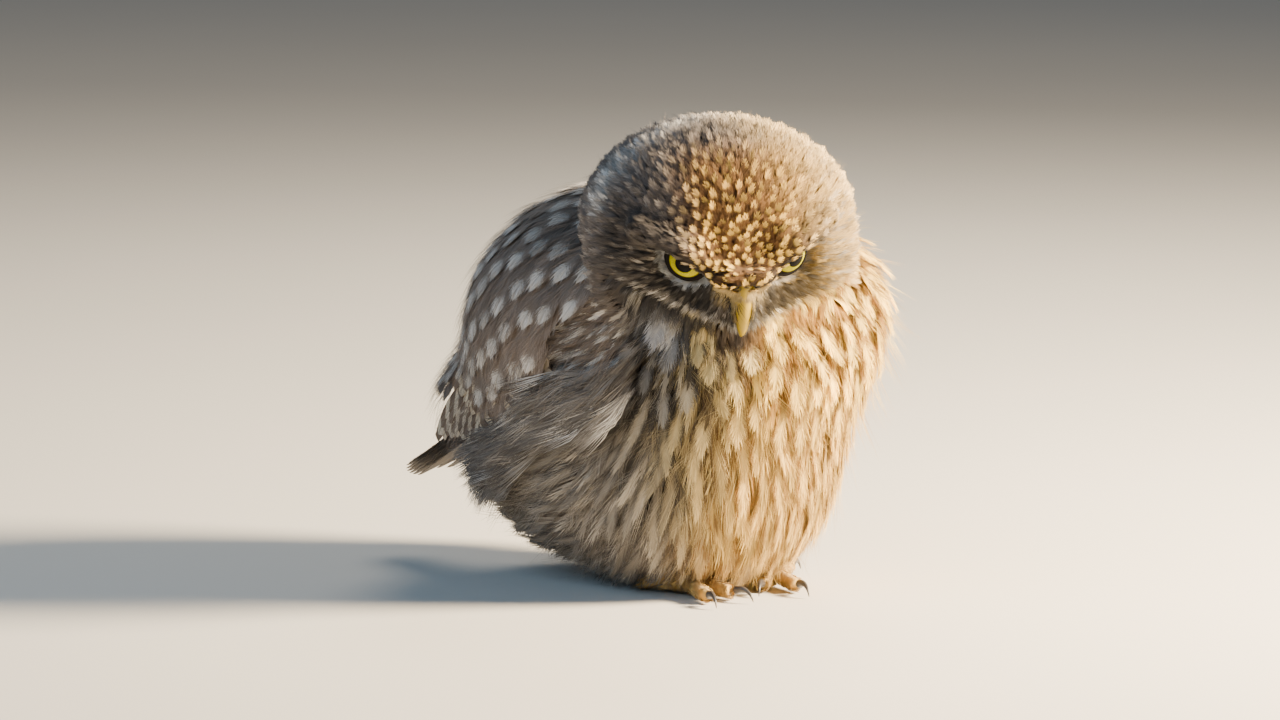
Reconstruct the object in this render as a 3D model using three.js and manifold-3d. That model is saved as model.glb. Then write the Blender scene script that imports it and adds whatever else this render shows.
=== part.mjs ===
// A little owl, life size, crouched with fluffed plumage and its head bowed and turned to its right.
// Millimetres, +Z up. The bird's body faces -Y and its left side is +X. It rests on the plane z = 0.
import * as THREE from "three";
import { mergeVertices } from "three/addons/utils/BufferGeometryUtils.js";
import Module from "manifold-3d";

const wasm = await Module();
wasm.setup();

const { Vector3, Matrix4 } = THREE;
const v3 = (x, y, z) => new Vector3(x, y, z);
const rad = THREE.MathUtils.degToRad;
const lerp = THREE.MathUtils.lerp;
const clamp = THREE.MathUtils.clamp;

// Driving sizes

// The body: fluffed plumage out to the feather tips, with the feet near x = 0, y = 0.
const CHEST = { at: [0, 9, 77], size: [51, 47, 42] };
const RUFF = { at: [21, -12, 92], size: [26, 24, 27] };
const BACK = { at: [0, 47, 79], size: [49, 51, 47] };
const BELLY = { at: [0, 23, 42], size: [48, 50.5, 45.5] };
const VENT = { at: [0, 56, 37], size: [42, 44, 31] };
const BODY_BLEND = 16;
const BODY_MIDDLE = v3(0, 26, 66);
const BODY_DETAIL = 7;

// The head, in its own frame: bill towards -Y, crown towards +Z.
const HEAD_AT = v3(-16.5, -1.5, 122.6);
const HEAD_TURN = -41.5; // about +Z, to the bird's right
const HEAD_BOW = 17; // the bill tips down by this much
const HEAD_LEAN = -1.8; // about the bill's line
const SKULL = { at: [0, 0, 0], size: [45, 38, 33] };
const NAPE = { at: [0, 14, -6], size: [41, 32, 32] };
const CHEEK = { at: [23, -11, -12], size: [21, 21, 20] };
const CHIN = { at: [0, -22, -20], size: [19, 16, 14] };
const LORE = { at: [0, -31, -5], size: [9.5, 12, 12] };
const BROW_IN = v3(4, -38.9, -1.3);
const BROW_MID = v3(19, -35, 7.6);
const BROW_OUT = v3(30, -27.5, 9.5);
const BROW_R = 3.6; // the brows hang over the upper half of the eyes
const HEAD_BLEND = 7;
const BROW_BLEND = 4;
const HEAD_MIDDLE = v3(0, -4, -2);
const HEAD_DETAIL = 8;
const FACE_PULL = v3(0, -0.45, 0); // how strongly the head's triangles gather on the face

const EYE_AT = v3(13.9, -29.3, 1.8); // centre of the left eyeball in the head's frame
const EYE_R = 8.4;
const EYE_OUT = 27; // the eyes point outwards by this much
const IRIS_R = 5.8;
const CORNEA_RISE = 1.1;
const LID_R = 6.9;
const LID_THICK = 1.25;
const LID_WALL = 1.1; // the lids' skin over the eyeball
const SOCKET = { wide: 9.6, deep: 7.5, high: 8.8, forward: 2.2 };

const BILL_ROOT = v3(0, -35.5, -1.5);
const BILL_LENGTH = 21;
const BILL_WIDTH = 7.6;
const BILL_DEPTH = 9.2;
const NOSTRIL_R = 0.9;
const NOSTRIL_AT = v3(2.9, -5.6, 1.1); // from the bill's root
const LOWER_BILL = { from: v3(0, 1, -8.5), over: v3(0, -4.5, -2.5), to: v3(0, -5.2, -8), wide: 3, deep: 2 };

// The neck: a collar of ruff feathers between the head and the body.
const NECK = { at: [-7, 8, 102], size: [44, 43, 22] };
const NECK_DETAIL = 4;

// Feet and legs.
const FEET_AT = { left: v3(14, 1, 0), right: v3(-18, 10, 0) };
const FEET_HEADING = 32; // the perched feet point this far to the bird's right of its body
const FOOT_SPLAY = 5; // and each a little outwards
const FOOT_PAD = { size: v3(6.2, 6.6, 4.6), high: 4.4 };
const TOE_R = 3.6;
const TOES = [
  { name: "inner", turn: 22, long: 19, front: true },
  { name: "middle", turn: -8, long: 22, front: true },
  { name: "outer", turn: -140, long: 16, front: false },
  { name: "hind", turn: 164, long: 11, front: false },
];
const TOE_OUT = 2.5; // each toe starts this far from the middle of the foot
const CLAW_LONG = 9.5;
const CLAW_R = 1.5;
const LEG = { up: 19, back: 2, size: [8.5, 9, 12.5] };

// The folded wings lie over the body and reach past it to the tail.
const WING_SPINE = [v3(0, -2, 100), v3(0, 66, 84), v3(0, 106, 40)];
const WING_TIPS = { at: [0, 84, 50], size: [27, 34, 25] };
const WING_BLEND = 14;
const WING_ARM = { along: [0.3, 0.34], round: [72, 50], low: 1.6, thick: 3 };
const VANE_THICK = 0.6;
const VANE_TILT = 1.2;
const VANE_RISE = 5; // from root to tip

// Rows of the folded wing, from the deepest to the outermost. `first` and `last` are the row's outer
// feathers, each [root along, root round, tip along, tip round]; half widths and lifts are millimetres.
const WING_ROWS = [
  { count: 6, first: [0.5, 112, 0.86, 112], last: [0.52, 90, 1.05, 76], half: [6, 6], lift: 2.4, steps: 4, blunt: 0.6 },
  { count: 7, first: [0.36, 110, 0.74, 112], last: [0.42, 30, 0.9, 42], half: [6.6, 6.8], lift: 2.6, steps: 3, blunt: 0.5 },
  { count: 6, first: [0.2, 112, 0.52, 114], last: [0.28, 38, 0.7, 40], half: [7, 7], lift: 2.8, steps: 3, blunt: 0.5 },
  { count: 5, first: [0.07, 106, 0.36, 112], last: [0.14, 52, 0.48, 54], half: [7.5, 7.5], lift: 3, steps: 2, blunt: 0.5 },
  { count: 5, first: [0.04, 48, 0.38, 52], last: [0.26, 17, 0.7, 20], half: [7.5, 7.5], lift: 3.4, steps: 2, blunt: 0.5 },
];

// The tail.
const TAIL_ROOT = v3(0, 76, 60);
const TAIL_TIP = v3(0, 141, 28);
const TAIL_BULB = { from: 0.02, to: 0.62, wide: 17, high: 8.5, low: 3.2 };
const RECTRICES = 12;
const RECTRIX_HALF = 6.6;
const RECTRIX_FAN = 0.8; // degrees between neighbours
const RECTRIX_STACK = 0.6; // height between neighbours
const RECTRIX_THICK = 0.5;
const RECTRIX_STEP = 0.7; // sideways between neighbours at their roots

const PLUMAGE = 0x6e5f4e;
const PALE_PLUMAGE = 0xb7a284;
const HORN = 0x4a4038;
const BILL_YELLOW = 0xc9a63c;
const EYE_YELLOW = 0xd8b51e;
const TOE_BUFF = 0xb9a06e;

const ORIGIN_SHIFT = v3(0, -47.5, 0); // brings the middle of the bounding box's base to the origin
const GAP = 0.3; // between nodes that touch
const ROOM = 1.8; // round the feet, whose copies there have fewer sides
const CUT_DETAIL = 5; // of the coarse copy of the head that parts the nodes round it
const CUT_ROOM = 1.3; // how far that copy stands off so that its flat faces clear the head

// Fields: each gives about the distance outside a rounded form, negative inside

function ellipsoid({ at, size }) {
  const [cx, cy, cz] = at;
  const [a, b, c] = size;
  return (p) => {
    const x = p.x - cx;
    const y = p.y - cy;
    const z = p.z - cz;
    const near = Math.hypot(x / a, y / b, z / c);
    const slope = Math.hypot(x / (a * a), y / (b * b), z / (c * c));
    return slope > 1e-9 ? (near * (near - 1)) / slope : -Math.min(a, b, c);
  };
}

function rod(from, to, radius) {
  const along = to.clone().sub(from);
  return (p) => {
    const q = p.clone().sub(from);
    const share = clamp(q.dot(along) / along.lengthSq(), 0, 1);
    return q.addScaledVector(along, -share).length() - radius;
  };
}

const soften = (a, b, k) => {
  const h = Math.max(k - Math.abs(a - b), 0) / k;
  return Math.min(a, b) - (h * h * k) / 4;
};
const blend = (k, ...fields) => (p) => fields.map((f) => f(p)).reduce((a, b) => soften(a, b, k));
const acrossX = (p) => v3(-p.x, p.y, p.z);
const mirrored = (form) => ({ ...form, at: [-form.at[0], form.at[1], form.at[2]] });

const bodyField = blend(BODY_BLEND, ...[CHEST, RUFF, BACK, BELLY, VENT].map(ellipsoid));
const neckField = ellipsoid(NECK);
const wingField = blend(WING_BLEND, bodyField, ellipsoid(WING_TIPS));

// Solids

function bare(geometry) {
  const g = geometry.clone();
  g.deleteAttribute("normal");
  g.deleteAttribute("uv");
  return mergeVertices(g, 1e-4);
}

function solid(geometry) {
  const g = bare(geometry);
  return new wasm.Manifold(
    new wasm.Mesh({
      numProp: 3,
      vertProperties: new Float32Array(g.attributes.position.array),
      triVerts: new Uint32Array(g.index.array),
    }),
  );
}

function geometryOf(body) {
  const pieces = body.decompose().sort((a, b) => b.volume() - a.volume());
  const { vertProperties, triVerts, numProp } = pieces[0].getMesh();
  const count = vertProperties.length / numProp;
  const at = new Float32Array(count * 3);
  for (let i = 0; i < count; i++) at.set(vertProperties.subarray(i * numProp, i * numProp + 3), i * 3);
  const g = new THREE.BufferGeometry();
  g.setAttribute("position", new THREE.BufferAttribute(at, 3));
  g.setIndex(new THREE.BufferAttribute(new Uint32Array(triVerts), 1));
  return g;
}

// Moves every point of a geometry by a function of its place.
function shaped(geometry, move) {
  const g = bare(geometry);
  const at = g.attributes.position;
  const p = v3(0, 0, 0);
  for (let i = 0; i < at.count; i++) {
    p.fromBufferAttribute(at, i);
    const q = move(p.clone());
    at.setXYZ(i, q.x, q.y, q.z);
  }
  return g;
}

const join = (first, ...more) => more.reduce((a, b) => a.add(b), first);
const cut = (body, ...tools) => tools.reduce((a, b) => a.subtract(b), body);

// The distance from `from` along `way` at which a field reaches `level`, searched from outside.
function reach(field, from, way, level = 0, most = 130) {
  const p = v3(0, 0, 0);
  const at = (r) => field(p.copy(from).addScaledVector(way, r)) - level;
  const STEP = 3;
  let outer = most;
  while (outer > STEP && at(outer - STEP) > 0) outer -= STEP;
  let inner = outer - STEP;
  for (let i = 0; i < 14; i++) {
    const middle = (inner + outer) / 2;
    if (at(middle) > 0) outer = middle;
    else inner = middle;
  }
  return (inner + outer) / 2;
}

// A rounded form seen from its middle. `pull` gathers its triangles towards one side.
function formed(field, middle, detail, level = 0, pull = v3(0, 0, 0)) {
  return shaped(new THREE.IcosahedronGeometry(1, detail), (d) => {
    const way = d.normalize().add(pull).normalize();
    return middle.clone().addScaledVector(way, reach(field, middle, way, level));
  });
}

// A tapered limb along a curve: radius(share) gives its half width and half height.
function limb(curve, radius, sides = 8, steps = 8, upHint = v3(0, 0, 1)) {
  return shaped(new THREE.SphereGeometry(1, sides, steps), (p) => {
    const share = Math.acos(clamp(p.y, -1, 1)) / Math.PI;
    const centre = curve.getPoint(share);
    const along = curve.getTangent(share);
    const across = v3(0, 0, 0).crossVectors(along, upHint).normalize();
    const rise = v3(0, 0, 0).crossVectors(across, along);
    const [wide, high] = radius(share);
    const ring = Math.hypot(p.x, p.z) || 1;
    const open = ring < 1e-6 ? 0 : 1;
    return centre
      .addScaledVector(across, (open * wide * p.x) / ring)
      .addScaledVector(rise, (open * high * p.z) / ring);
  });
}

function facingOut(geometry) {
  const body = solid(geometry);
  if (body.volume() > 0) return body;
  const turned = geometry.clone();
  const index = turned.index.array;
  for (let i = 0; i < index.length; i += 3) [index[i + 1], index[i + 2]] = [index[i + 2], index[i + 1]];
  return solid(turned);
}

// Feathers

// A vane: stations of a midline, each with its half width and the normal there.
// Both faces are split into triangles alike.
function vane(stations, thick, bulge) {
  const points = [];
  const index = [];
  stations.forEach(({ mid, across, normal, half, tilt }) => {
    const left = mid.clone().addScaledVector(across, -half).addScaledVector(normal, -tilt);
    const right = mid.clone().addScaledVector(across, half).addScaledVector(normal, tilt);
    const upper = [left, mid.clone().addScaledVector(normal, bulge), right];
    const lower = upper.map((q) => q.clone().addScaledVector(normal, -thick));
    points.push(...upper, ...lower);
  });
  const quad = (a, b, c, d) => index.push(a, b, c, a, c, d);
  const last = (stations.length - 1) * 6;
  for (let s = 0; s < last; s += 6) {
    quad(s, s + 1, s + 7, s + 6);
    quad(s + 1, s + 2, s + 8, s + 7);
    index.push(s + 3, s + 10, s + 4, s + 3, s + 9, s + 10);
    index.push(s + 4, s + 11, s + 5, s + 4, s + 10, s + 11);
    quad(s + 2, s + 5, s + 11, s + 8);
    quad(s + 3, s, s + 6, s + 9);
  }
  index.push(0, 3, 4, 0, 4, 1, 1, 4, 5, 1, 5, 2);
  index.push(last, last + 4, last + 3, last, last + 1, last + 4);
  index.push(last + 1, last + 5, last + 4, last + 1, last + 2, last + 5);
  const g = new THREE.BufferGeometry();
  const flat = new Float32Array(points.flatMap((q) => q.toArray()));
  g.setAttribute("position", new THREE.BufferAttribute(flat, 3));
  g.setIndex(index);
  return facingOut(g);
}

// How wide a feather is along its length, from its root to its tip.
const leaf = (share, blunt) => Math.pow(Math.sin(Math.PI * clamp(0.14 + share * 0.8, 0, 1)), blunt);

const wingSpine = new THREE.QuadraticBezierCurve3(...WING_SPINE);

// A point of the folded wing's surface: `along` from the shoulder to the tip, `round` in degrees
// from the ridge of the back down the side, `lift` above the plumage, `side` 1 for left.
function wingPoint(along, round, lift, side) {
  const share = clamp(along, 0, 1);
  const centre = wingSpine.getPoint(share);
  const tangent = wingSpine.getTangent(share);
  const dorsal = v3(1, 0, 0).cross(tangent).normalize();
  const way = dorsal.multiplyScalar(Math.cos(rad(round))).add(v3(side * Math.sin(rad(round)), 0, 0));
  const at = centre.clone().addScaledVector(way, reach(wingField, centre, way, lift));
  return at.addScaledVector(tangent, (along - share) * wingSpine.getLength());
}

function wingNormal(along, round, lift, side) {
  const step = 0.02;
  const turn = 3;
  const a = wingPoint(along + step, round, lift, side).sub(wingPoint(along - step, round, lift, side));
  const b = wingPoint(along, round + turn, lift, side).sub(wingPoint(along, round - turn, lift, side));
  return a.cross(b).normalize().multiplyScalar(-side);
}

// A feather of the wing from one place on its surface to another.
function wingVane([rootAlong, rootRound, tipAlong, tipRound], half, { lift, steps, blunt }, side) {
  const place = (share, height) =>
    wingPoint(lerp(rootAlong, tipAlong, share), lerp(rootRound, tipRound, share), height, side);
  const stations = [];
  for (let i = 0; i <= steps; i++) {
    const share = i / steps;
    const height = lift + VANE_RISE * share;
    const mid = place(share, height);
    const normal = wingNormal(lerp(rootAlong, tipAlong, share), lerp(rootRound, tipRound, share), height, side);
    const along = place(share + 0.04, height).sub(place(share - 0.04, height)).normalize();
    const across = along.cross(normal).multiplyScalar(side).normalize();
    stations.push({ mid, across, normal, half: half * leaf(share, blunt), tilt: VANE_TILT * Math.min(1, share * 3) });
  }
  return vane(stations, VANE_THICK, VANE_THICK / 4);
}

// The arm: a pad under the feathers, from the shoulder to where the flight feathers leave the body.
function wingArm(side) {
  return facingOut(
    shaped(new THREE.SphereGeometry(1, 14, 8), (p) => {
      const along = WING_ARM.along[0] + WING_ARM.along[1] * p.y;
      const round = WING_ARM.round[0] + WING_ARM.round[1] * p.x;
      const bulge = (p.z + 1) / 2;
      return wingPoint(along, round, WING_ARM.low + WING_ARM.thick * bulge, side);
    }),
  );
}

function wing(side) {
  const feathers = WING_ROWS.flatMap((row) =>
    Array.from({ length: row.count }, (_, i) => {
      const share = i / (row.count - 1);
      const ends = row.first.map((value, k) => lerp(value, row.last[k], share));
      return wingVane(ends, lerp(...row.half, share), row, side);
    }),
  );
  return join(wingArm(side), ...feathers);
}

// The tail: a bulb of coverts and twelve overlapping feathers, the middle pair on top
function tail() {
  const along = TAIL_TIP.clone().sub(TAIL_ROOT);
  const up = v3(1, 0, 0).cross(along).normalize();
  const steps = 3;
  const vanes = Array.from({ length: RECTRICES }, (_, i) => {
    const place = i - (RECTRICES - 1) / 2;
    const rank = 2 * Math.abs(place) - (place > 0 ? 1 : 0);
    const start = TAIL_ROOT.clone().add(v3(place * RECTRIX_STEP, 0, 0)).addScaledVector(up, -rank * RECTRIX_STACK);
    const way = along.clone().normalize().applyAxisAngle(up, -rad(place * RECTRIX_FAN));
    const across = way.clone().cross(up).normalize();
    const long = along.length() - place * place * 0.14;
    const stations = Array.from({ length: steps + 1 }, (_, s) => {
      const share = s / steps;
      const mid = start.clone().addScaledVector(way, long * share).addScaledVector(up, 20 * share * (1 - share) ** 2);
      return { mid, across, normal: up, half: RECTRIX_HALF * leaf(share, 0.45), tilt: 0 };
    });
    return vane(stations, RECTRIX_THICK, 0);
  });
  const { from, to, wide, high, low } = TAIL_BULB;
  const spot = (share) => TAIL_ROOT.clone().addScaledVector(along, share).addScaledVector(up, -low);
  const swell = (s) => Math.sqrt(Math.sin(Math.PI * s)) * (1 - 0.4 * s);
  const bulb = limb(new THREE.LineCurve3(spot(from), spot(to)), (s) => [wide * swell(s), high * swell(s)], 10, 6);
  return join(facingOut(bulb), ...vanes);
}

// The head

const headPlace = new Matrix4()
  .makeTranslation(HEAD_AT)
  .multiply(new Matrix4().makeRotationZ(rad(HEAD_TURN)))
  .multiply(new Matrix4().makeRotationX(rad(HEAD_BOW)))
  .multiply(new Matrix4().makeRotationY(rad(HEAD_LEAN)));
const inPlace = (body) => body.transform(headPlace.elements.slice());

const headField = blend(
  BROW_BLEND,
  blend(HEAD_BLEND, ...[SKULL, NAPE, CHEEK, mirrored(CHEEK), CHIN, LORE].map(ellipsoid)),
  rod(BROW_IN, BROW_MID, BROW_R),
  rod(BROW_MID, BROW_OUT, BROW_R),
  rod(acrossX(BROW_IN), acrossX(BROW_MID), BROW_R),
  rod(acrossX(BROW_MID), acrossX(BROW_OUT), BROW_R),
);

// A form that is built looking along -Y, set at an eye and turned to look along its line.
function atEye(geometry, side, forward = 0) {
  const way = v3(side * Math.sin(rad(EYE_OUT)), -Math.cos(rad(EYE_OUT)), -0.04).normalize();
  const turn = new THREE.Quaternion().setFromUnitVectors(v3(0, -1, 0), way);
  const at = (side > 0 ? EYE_AT.clone() : acrossX(EYE_AT)).addScaledVector(way, forward);
  return bare(geometry).applyMatrix4(new Matrix4().compose(at, turn, v3(1, 1, 1)));
}

const irisForward = Math.sqrt(EYE_R * EYE_R - LID_R * LID_R);

// The lids: a rim round the eye, thicker and lower above it, on a cup that holds the eyeball.
function lids(side) {
  const rim = shaped(new THREE.TorusGeometry(LID_R, LID_THICK, 5, 13).rotateX(Math.PI / 2), (p) => {
    const upper = Math.max(0, p.z / LID_R);
    return v3(p.x, p.y - 0.6 * upper, p.z * (1 - 0.16 * upper));
  });
  const front = new THREE.BoxGeometry(4 * EYE_R, 2 * EYE_R, 4 * EYE_R).translate(0, -EYE_R - irisForward, 0);
  const cup = solid(atEye(new THREE.SphereGeometry(EYE_R + LID_WALL, 12, 8), side));
  return cup.subtract(solid(atEye(front, side))).add(solid(atEye(rim, side, irisForward)));
}

// The brow's overhang, from beside the bill over the eye.
function brow(side) {
  const spots = [BROW_IN, BROW_MID, BROW_OUT].map((p) => (side > 0 ? p : acrossX(p)));
  const round = (s) => BROW_R * Math.sqrt(Math.sin(Math.PI * clamp(s, 0.08, 0.92)));
  return facingOut(limb(new THREE.CatmullRomCurve3(spots), (s) => [round(s), round(s)], 6, 5));
}

function head() {
  const sides = [1, -1];
  const bowl = new THREE.SphereGeometry(1, 11, 7).scale(SOCKET.wide, SOCKET.deep, SOCKET.high);
  const bowls = sides.map((side) => solid(atEye(bowl, side, irisForward + SOCKET.forward)));
  const rooms = sides.map((side) => eye(side, GAP));
  const form = solid(formed(headField, HEAD_MIDDLE, HEAD_DETAIL, 0, FACE_PULL));
  return cut(join(cut(form, ...bowls), ...sides.map(brow), ...sides.map(lids)), ...rooms);
}

// The eyeball, with the clear bulge of the cornea in front. `more` swells it for the room it needs.
function eye(side, more = 0) {
  const ball = shaped(new THREE.SphereGeometry(EYE_R + more, 12, 10).rotateX(Math.PI / 2), (p) => {
    const off = Math.hypot(p.x, p.z);
    const bulge = p.y < 0 && off < IRIS_R ? CORNEA_RISE * (1 - (off / IRIS_R) ** 2) : 0;
    return v3(p.x, p.y - bulge, p.z);
  });
  return solid(atEye(ball, side));
}

// The upper bill: a hooked cone. `more` swells it for the room it needs in the plumage.
function upperBill(more = 0) {
  const spot = (y, z) => BILL_ROOT.clone().add(v3(0, y, z * BILL_LENGTH));
  const curve = new THREE.CatmullRomCurve3([spot(0, 0), spot(-6.2, -0.15), spot(-8.8, -0.5), spot(-8.4, -0.8), spot(-5.8, -1)]);
  const wide = (s) => (BILL_WIDTH / 2) * Math.pow(1 - s, 0.55) * (1 - 0.12 * Math.sin(Math.PI * s));
  const deep = (s) => (BILL_DEPTH / 2) * Math.pow(1 - s, 0.6);
  return facingOut(limb(curve, (s) => [more + wide(s), more + deep(s)], 10, 8, v3(0, -1, 0)));
}

function nostril(side) {
  const hole = new THREE.SphereGeometry(NOSTRIL_R, 6, 5).scale(1, 1, 1.35);
  const at = BILL_ROOT.clone().add(NOSTRIL_AT);
  return solid(hole.translate(side * at.x, at.y, at.z));
}

function lowerBill(more = 0) {
  const { from, over, to, wide, deep } = LOWER_BILL;
  const start = BILL_ROOT.clone().add(from);
  const curve = new THREE.QuadraticBezierCurve3(start, start.clone().add(over), start.clone().add(to));
  const taper = (s) => Math.sqrt(1 - s * 0.96);
  return facingOut(limb(curve, (s) => [more + wide * taper(s), more + deep * taper(s)], 8, 5, v3(0, -1, 0)));
}

// Feet

// A toe swells over its pads and its underside is flat where it rests.
function toe(long, more = 0, sides = 7, steps = 7) {
  const curve = new THREE.QuadraticBezierCurve3(v3(0, 1.5, 4.2), v3(0, -long * 0.55, 5.4), v3(0, -long - more, 2.5));
  const radius = (s) => {
    const round = Math.sqrt(Math.sin(Math.PI * clamp(s, 0.02, 0.98)));
    const pads = 1 + 0.1 * Math.cos(s * Math.PI * 5);
    return more + TOE_R * (0.55 * round + 0.45 * (1 - s)) * pads;
  };
  return limb(curve, (s) => [radius(s), radius(s)], sides, steps);
}

function claw(long, more = 0, sides = 7, steps = 6) {
  const start = v3(0, 3 * more + 0.4 - long, 3.4);
  const over = start.clone().add(v3(0, -CLAW_LONG * 0.62, 2.6));
  const tip = start.clone().add(v3(0, -CLAW_LONG * 0.86 - 6 * more, -2.9));
  const taper = (s) => more + CLAW_R * (1 - s * 0.93);
  return limb(new THREE.QuadraticBezierCurve3(start, over, tip), (s) => [taper(s), taper(s)], sides, steps);
}

const footAt = (side) => (side > 0 ? FEET_AT.left : FEET_AT.right);

function toePlace({ turn }, side) {
  return new Matrix4()
    .makeTranslation(footAt(side))
    .multiply(new Matrix4().makeRotationZ(-rad(FEET_HEADING) - side * rad(FOOT_SPLAY + turn)))
    .multiply(new Matrix4().makeTranslation(0, -TOE_OUT, 0));
}

const aboveFloor = (body) => cut(body, solid(new THREE.BoxGeometry(400, 400, 100).translate(0, 0, -50)));

const placed = (form, t, side) => facingOut(form.applyMatrix4(toePlace(t, side)));

function foot(side) {
  const { x, y } = footAt(side);
  const pad = new THREE.SphereGeometry(1, 10, 6).scale(...FOOT_PAD.size).translate(x, y, FOOT_PAD.high);
  return aboveFloor(join(solid(pad), ...TOES.map((t) => placed(toe(t.long), t, side))));
}

// The room that the belly's plumage leaves for a foot and its two hind claws.
function footRoom(side) {
  const { x, y } = footAt(side);
  const size = FOOT_PAD.size.clone().addScalar(ROOM);
  const pad = new THREE.SphereGeometry(1, 8, 5).scale(...size).translate(x, y, FOOT_PAD.high);
  const toes = TOES.map((t) => placed(toe(t.long, ROOM, 6, 4), t, side));
  const claws = TOES.filter((t) => !t.front).map((t) => placed(claw(t.long, ROOM, 5, 3), t, side));
  return join(solid(pad), ...toes, ...claws);
}

function leg(side, more = 0) {
  const middle = footAt(side).clone().add(v3(0, LEG.back, LEG.up));
  return solid(formed(ellipsoid({ at: [...middle], size: LEG.size }), middle, 2, more));
}

// Assembly: each node is parted from its neighbours by copies of them grown by the gap

const headRoom = inPlace(solid(formed(headField, HEAD_MIDDLE, CUT_DETAIL, GAP + CUT_ROOM, FACE_PULL)));
const neckRoom = solid(formed(neckField, v3(...NECK.at), NECK_DETAIL, GAP));
const bodyRoom = solid(formed(bodyField, BODY_MIDDLE, BODY_DETAIL, GAP));
const billRoom = join(upperBill(GAP), lowerBill(GAP));

const owl = new THREE.Group();
owl.position.copy(ORIGIN_SHIFT);
function add(name, body, colour, roughness) {
  const mesh = new THREE.Mesh(geometryOf(body), new THREE.MeshStandardMaterial({ color: colour, roughness }));
  mesh.name = name;
  owl.add(mesh);
}

add("head", inPlace(cut(head(), billRoom)), PLUMAGE, 0.9);
add("beak_upper", inPlace(cut(upperBill(), nostril(1), nostril(-1))), BILL_YELLOW, 0.35);
add("beak_lower", inPlace(cut(lowerBill(), upperBill(GAP))), BILL_YELLOW, 0.4);
add("neck", cut(solid(formed(neckField, v3(...NECK.at), NECK_DETAIL)), headRoom), PLUMAGE, 0.9);
const torso = solid(formed(bodyField, BODY_MIDDLE, BODY_DETAIL));
const footRooms = [1, -1].flatMap((side) => [leg(side, GAP), footRoom(side)]);
add("torso", aboveFloor(cut(torso, headRoom, neckRoom, ...footRooms)), PALE_PLUMAGE, 0.95);
add("tail", cut(tail(), bodyRoom), PLUMAGE, 0.85);

for (const [word, side] of [["left", 1], ["right", -1]]) {
  const footShape = foot(side);
  add(`eye_${word}`, inPlace(eye(side)), EYE_YELLOW, 0.1);
  add(`wing_${word}`, cut(wing(side), headRoom, neckRoom), PLUMAGE, 0.85);
  add(`leg_${word}`, cut(leg(side), footShape, footShape.translate([0, 0, GAP])), PALE_PLUMAGE, 0.95);
  add(`foot_${word}`, footShape, TOE_BUFF, 0.7);
  for (const t of TOES) {
    add(`claw_${word}_${t.name}`, aboveFloor(cut(placed(claw(t.long), t, side), footShape)), HORN, 0.3);
  }
}

export default owl;
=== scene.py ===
"""The little owl's finished surfaces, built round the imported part: one skin, its plumage feather by feather,
eyes, lids, bill and claws. Places are in millimetres in the bird's own frame, whose origin lies between
the feet: the body faces -Y, its left side is +X. They are turned to the part's frame as each mesh is made."""

import math

import bmesh
import bpy
import numpy as np
from mathutils import Euler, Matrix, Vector, kdtree


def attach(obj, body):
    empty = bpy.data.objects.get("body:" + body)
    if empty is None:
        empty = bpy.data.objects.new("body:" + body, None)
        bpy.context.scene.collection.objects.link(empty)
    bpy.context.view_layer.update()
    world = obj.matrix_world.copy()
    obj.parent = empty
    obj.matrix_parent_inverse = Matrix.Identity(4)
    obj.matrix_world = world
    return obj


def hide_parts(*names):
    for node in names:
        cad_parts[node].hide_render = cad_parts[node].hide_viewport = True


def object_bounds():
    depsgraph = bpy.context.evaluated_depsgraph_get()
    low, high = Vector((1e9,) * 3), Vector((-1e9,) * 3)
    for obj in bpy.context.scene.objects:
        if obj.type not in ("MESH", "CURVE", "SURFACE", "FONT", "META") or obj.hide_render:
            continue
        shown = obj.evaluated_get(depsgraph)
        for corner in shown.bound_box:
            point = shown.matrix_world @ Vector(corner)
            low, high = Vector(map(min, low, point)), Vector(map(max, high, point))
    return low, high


bl_info = {
    "name": "Little Owl",
    "version": (1, 0, 0),
    "blender": (4, 5, 0),
    "location": "View3D > Sidebar > Owl",
    "description": "Builds the plumage, face, feet and studio of a life-size little owl",
    "category": "Object",
}

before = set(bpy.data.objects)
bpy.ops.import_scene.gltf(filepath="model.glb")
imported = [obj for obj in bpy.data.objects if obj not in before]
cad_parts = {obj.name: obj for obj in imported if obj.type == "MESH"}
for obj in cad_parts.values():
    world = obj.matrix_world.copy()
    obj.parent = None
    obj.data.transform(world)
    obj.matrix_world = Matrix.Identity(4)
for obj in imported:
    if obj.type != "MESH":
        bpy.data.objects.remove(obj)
CAD_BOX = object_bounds()

MM = 0.001
FRAME_SHIFT = np.array([0, -47.5, 0.0])
SEED = 20

# The body's forms, as in the part: each an ellipsoid with its place and half sizes

CHEST = ([0, 9, 77], [51, 47, 42])
RUFF = ([21, -12, 92], [26, 24, 27])
BACK = ([0, 47, 79], [49, 51, 47])
BELLY = ([0, 23, 42], [48, 50.5, 45.5])
VENT = ([0, 56, 37], [42, 44, 31])
BODY_BLEND = 16
SIDES = {"left": 1, "right": -1}
BODY_MIDDLE = np.array([0, 26, 66.0])
NECK = ([-7, 8, 102], [44, 43, 22])
NECK_BLEND = 10

# The head, in its own frame: bill towards -Y, crown towards +Z

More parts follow.
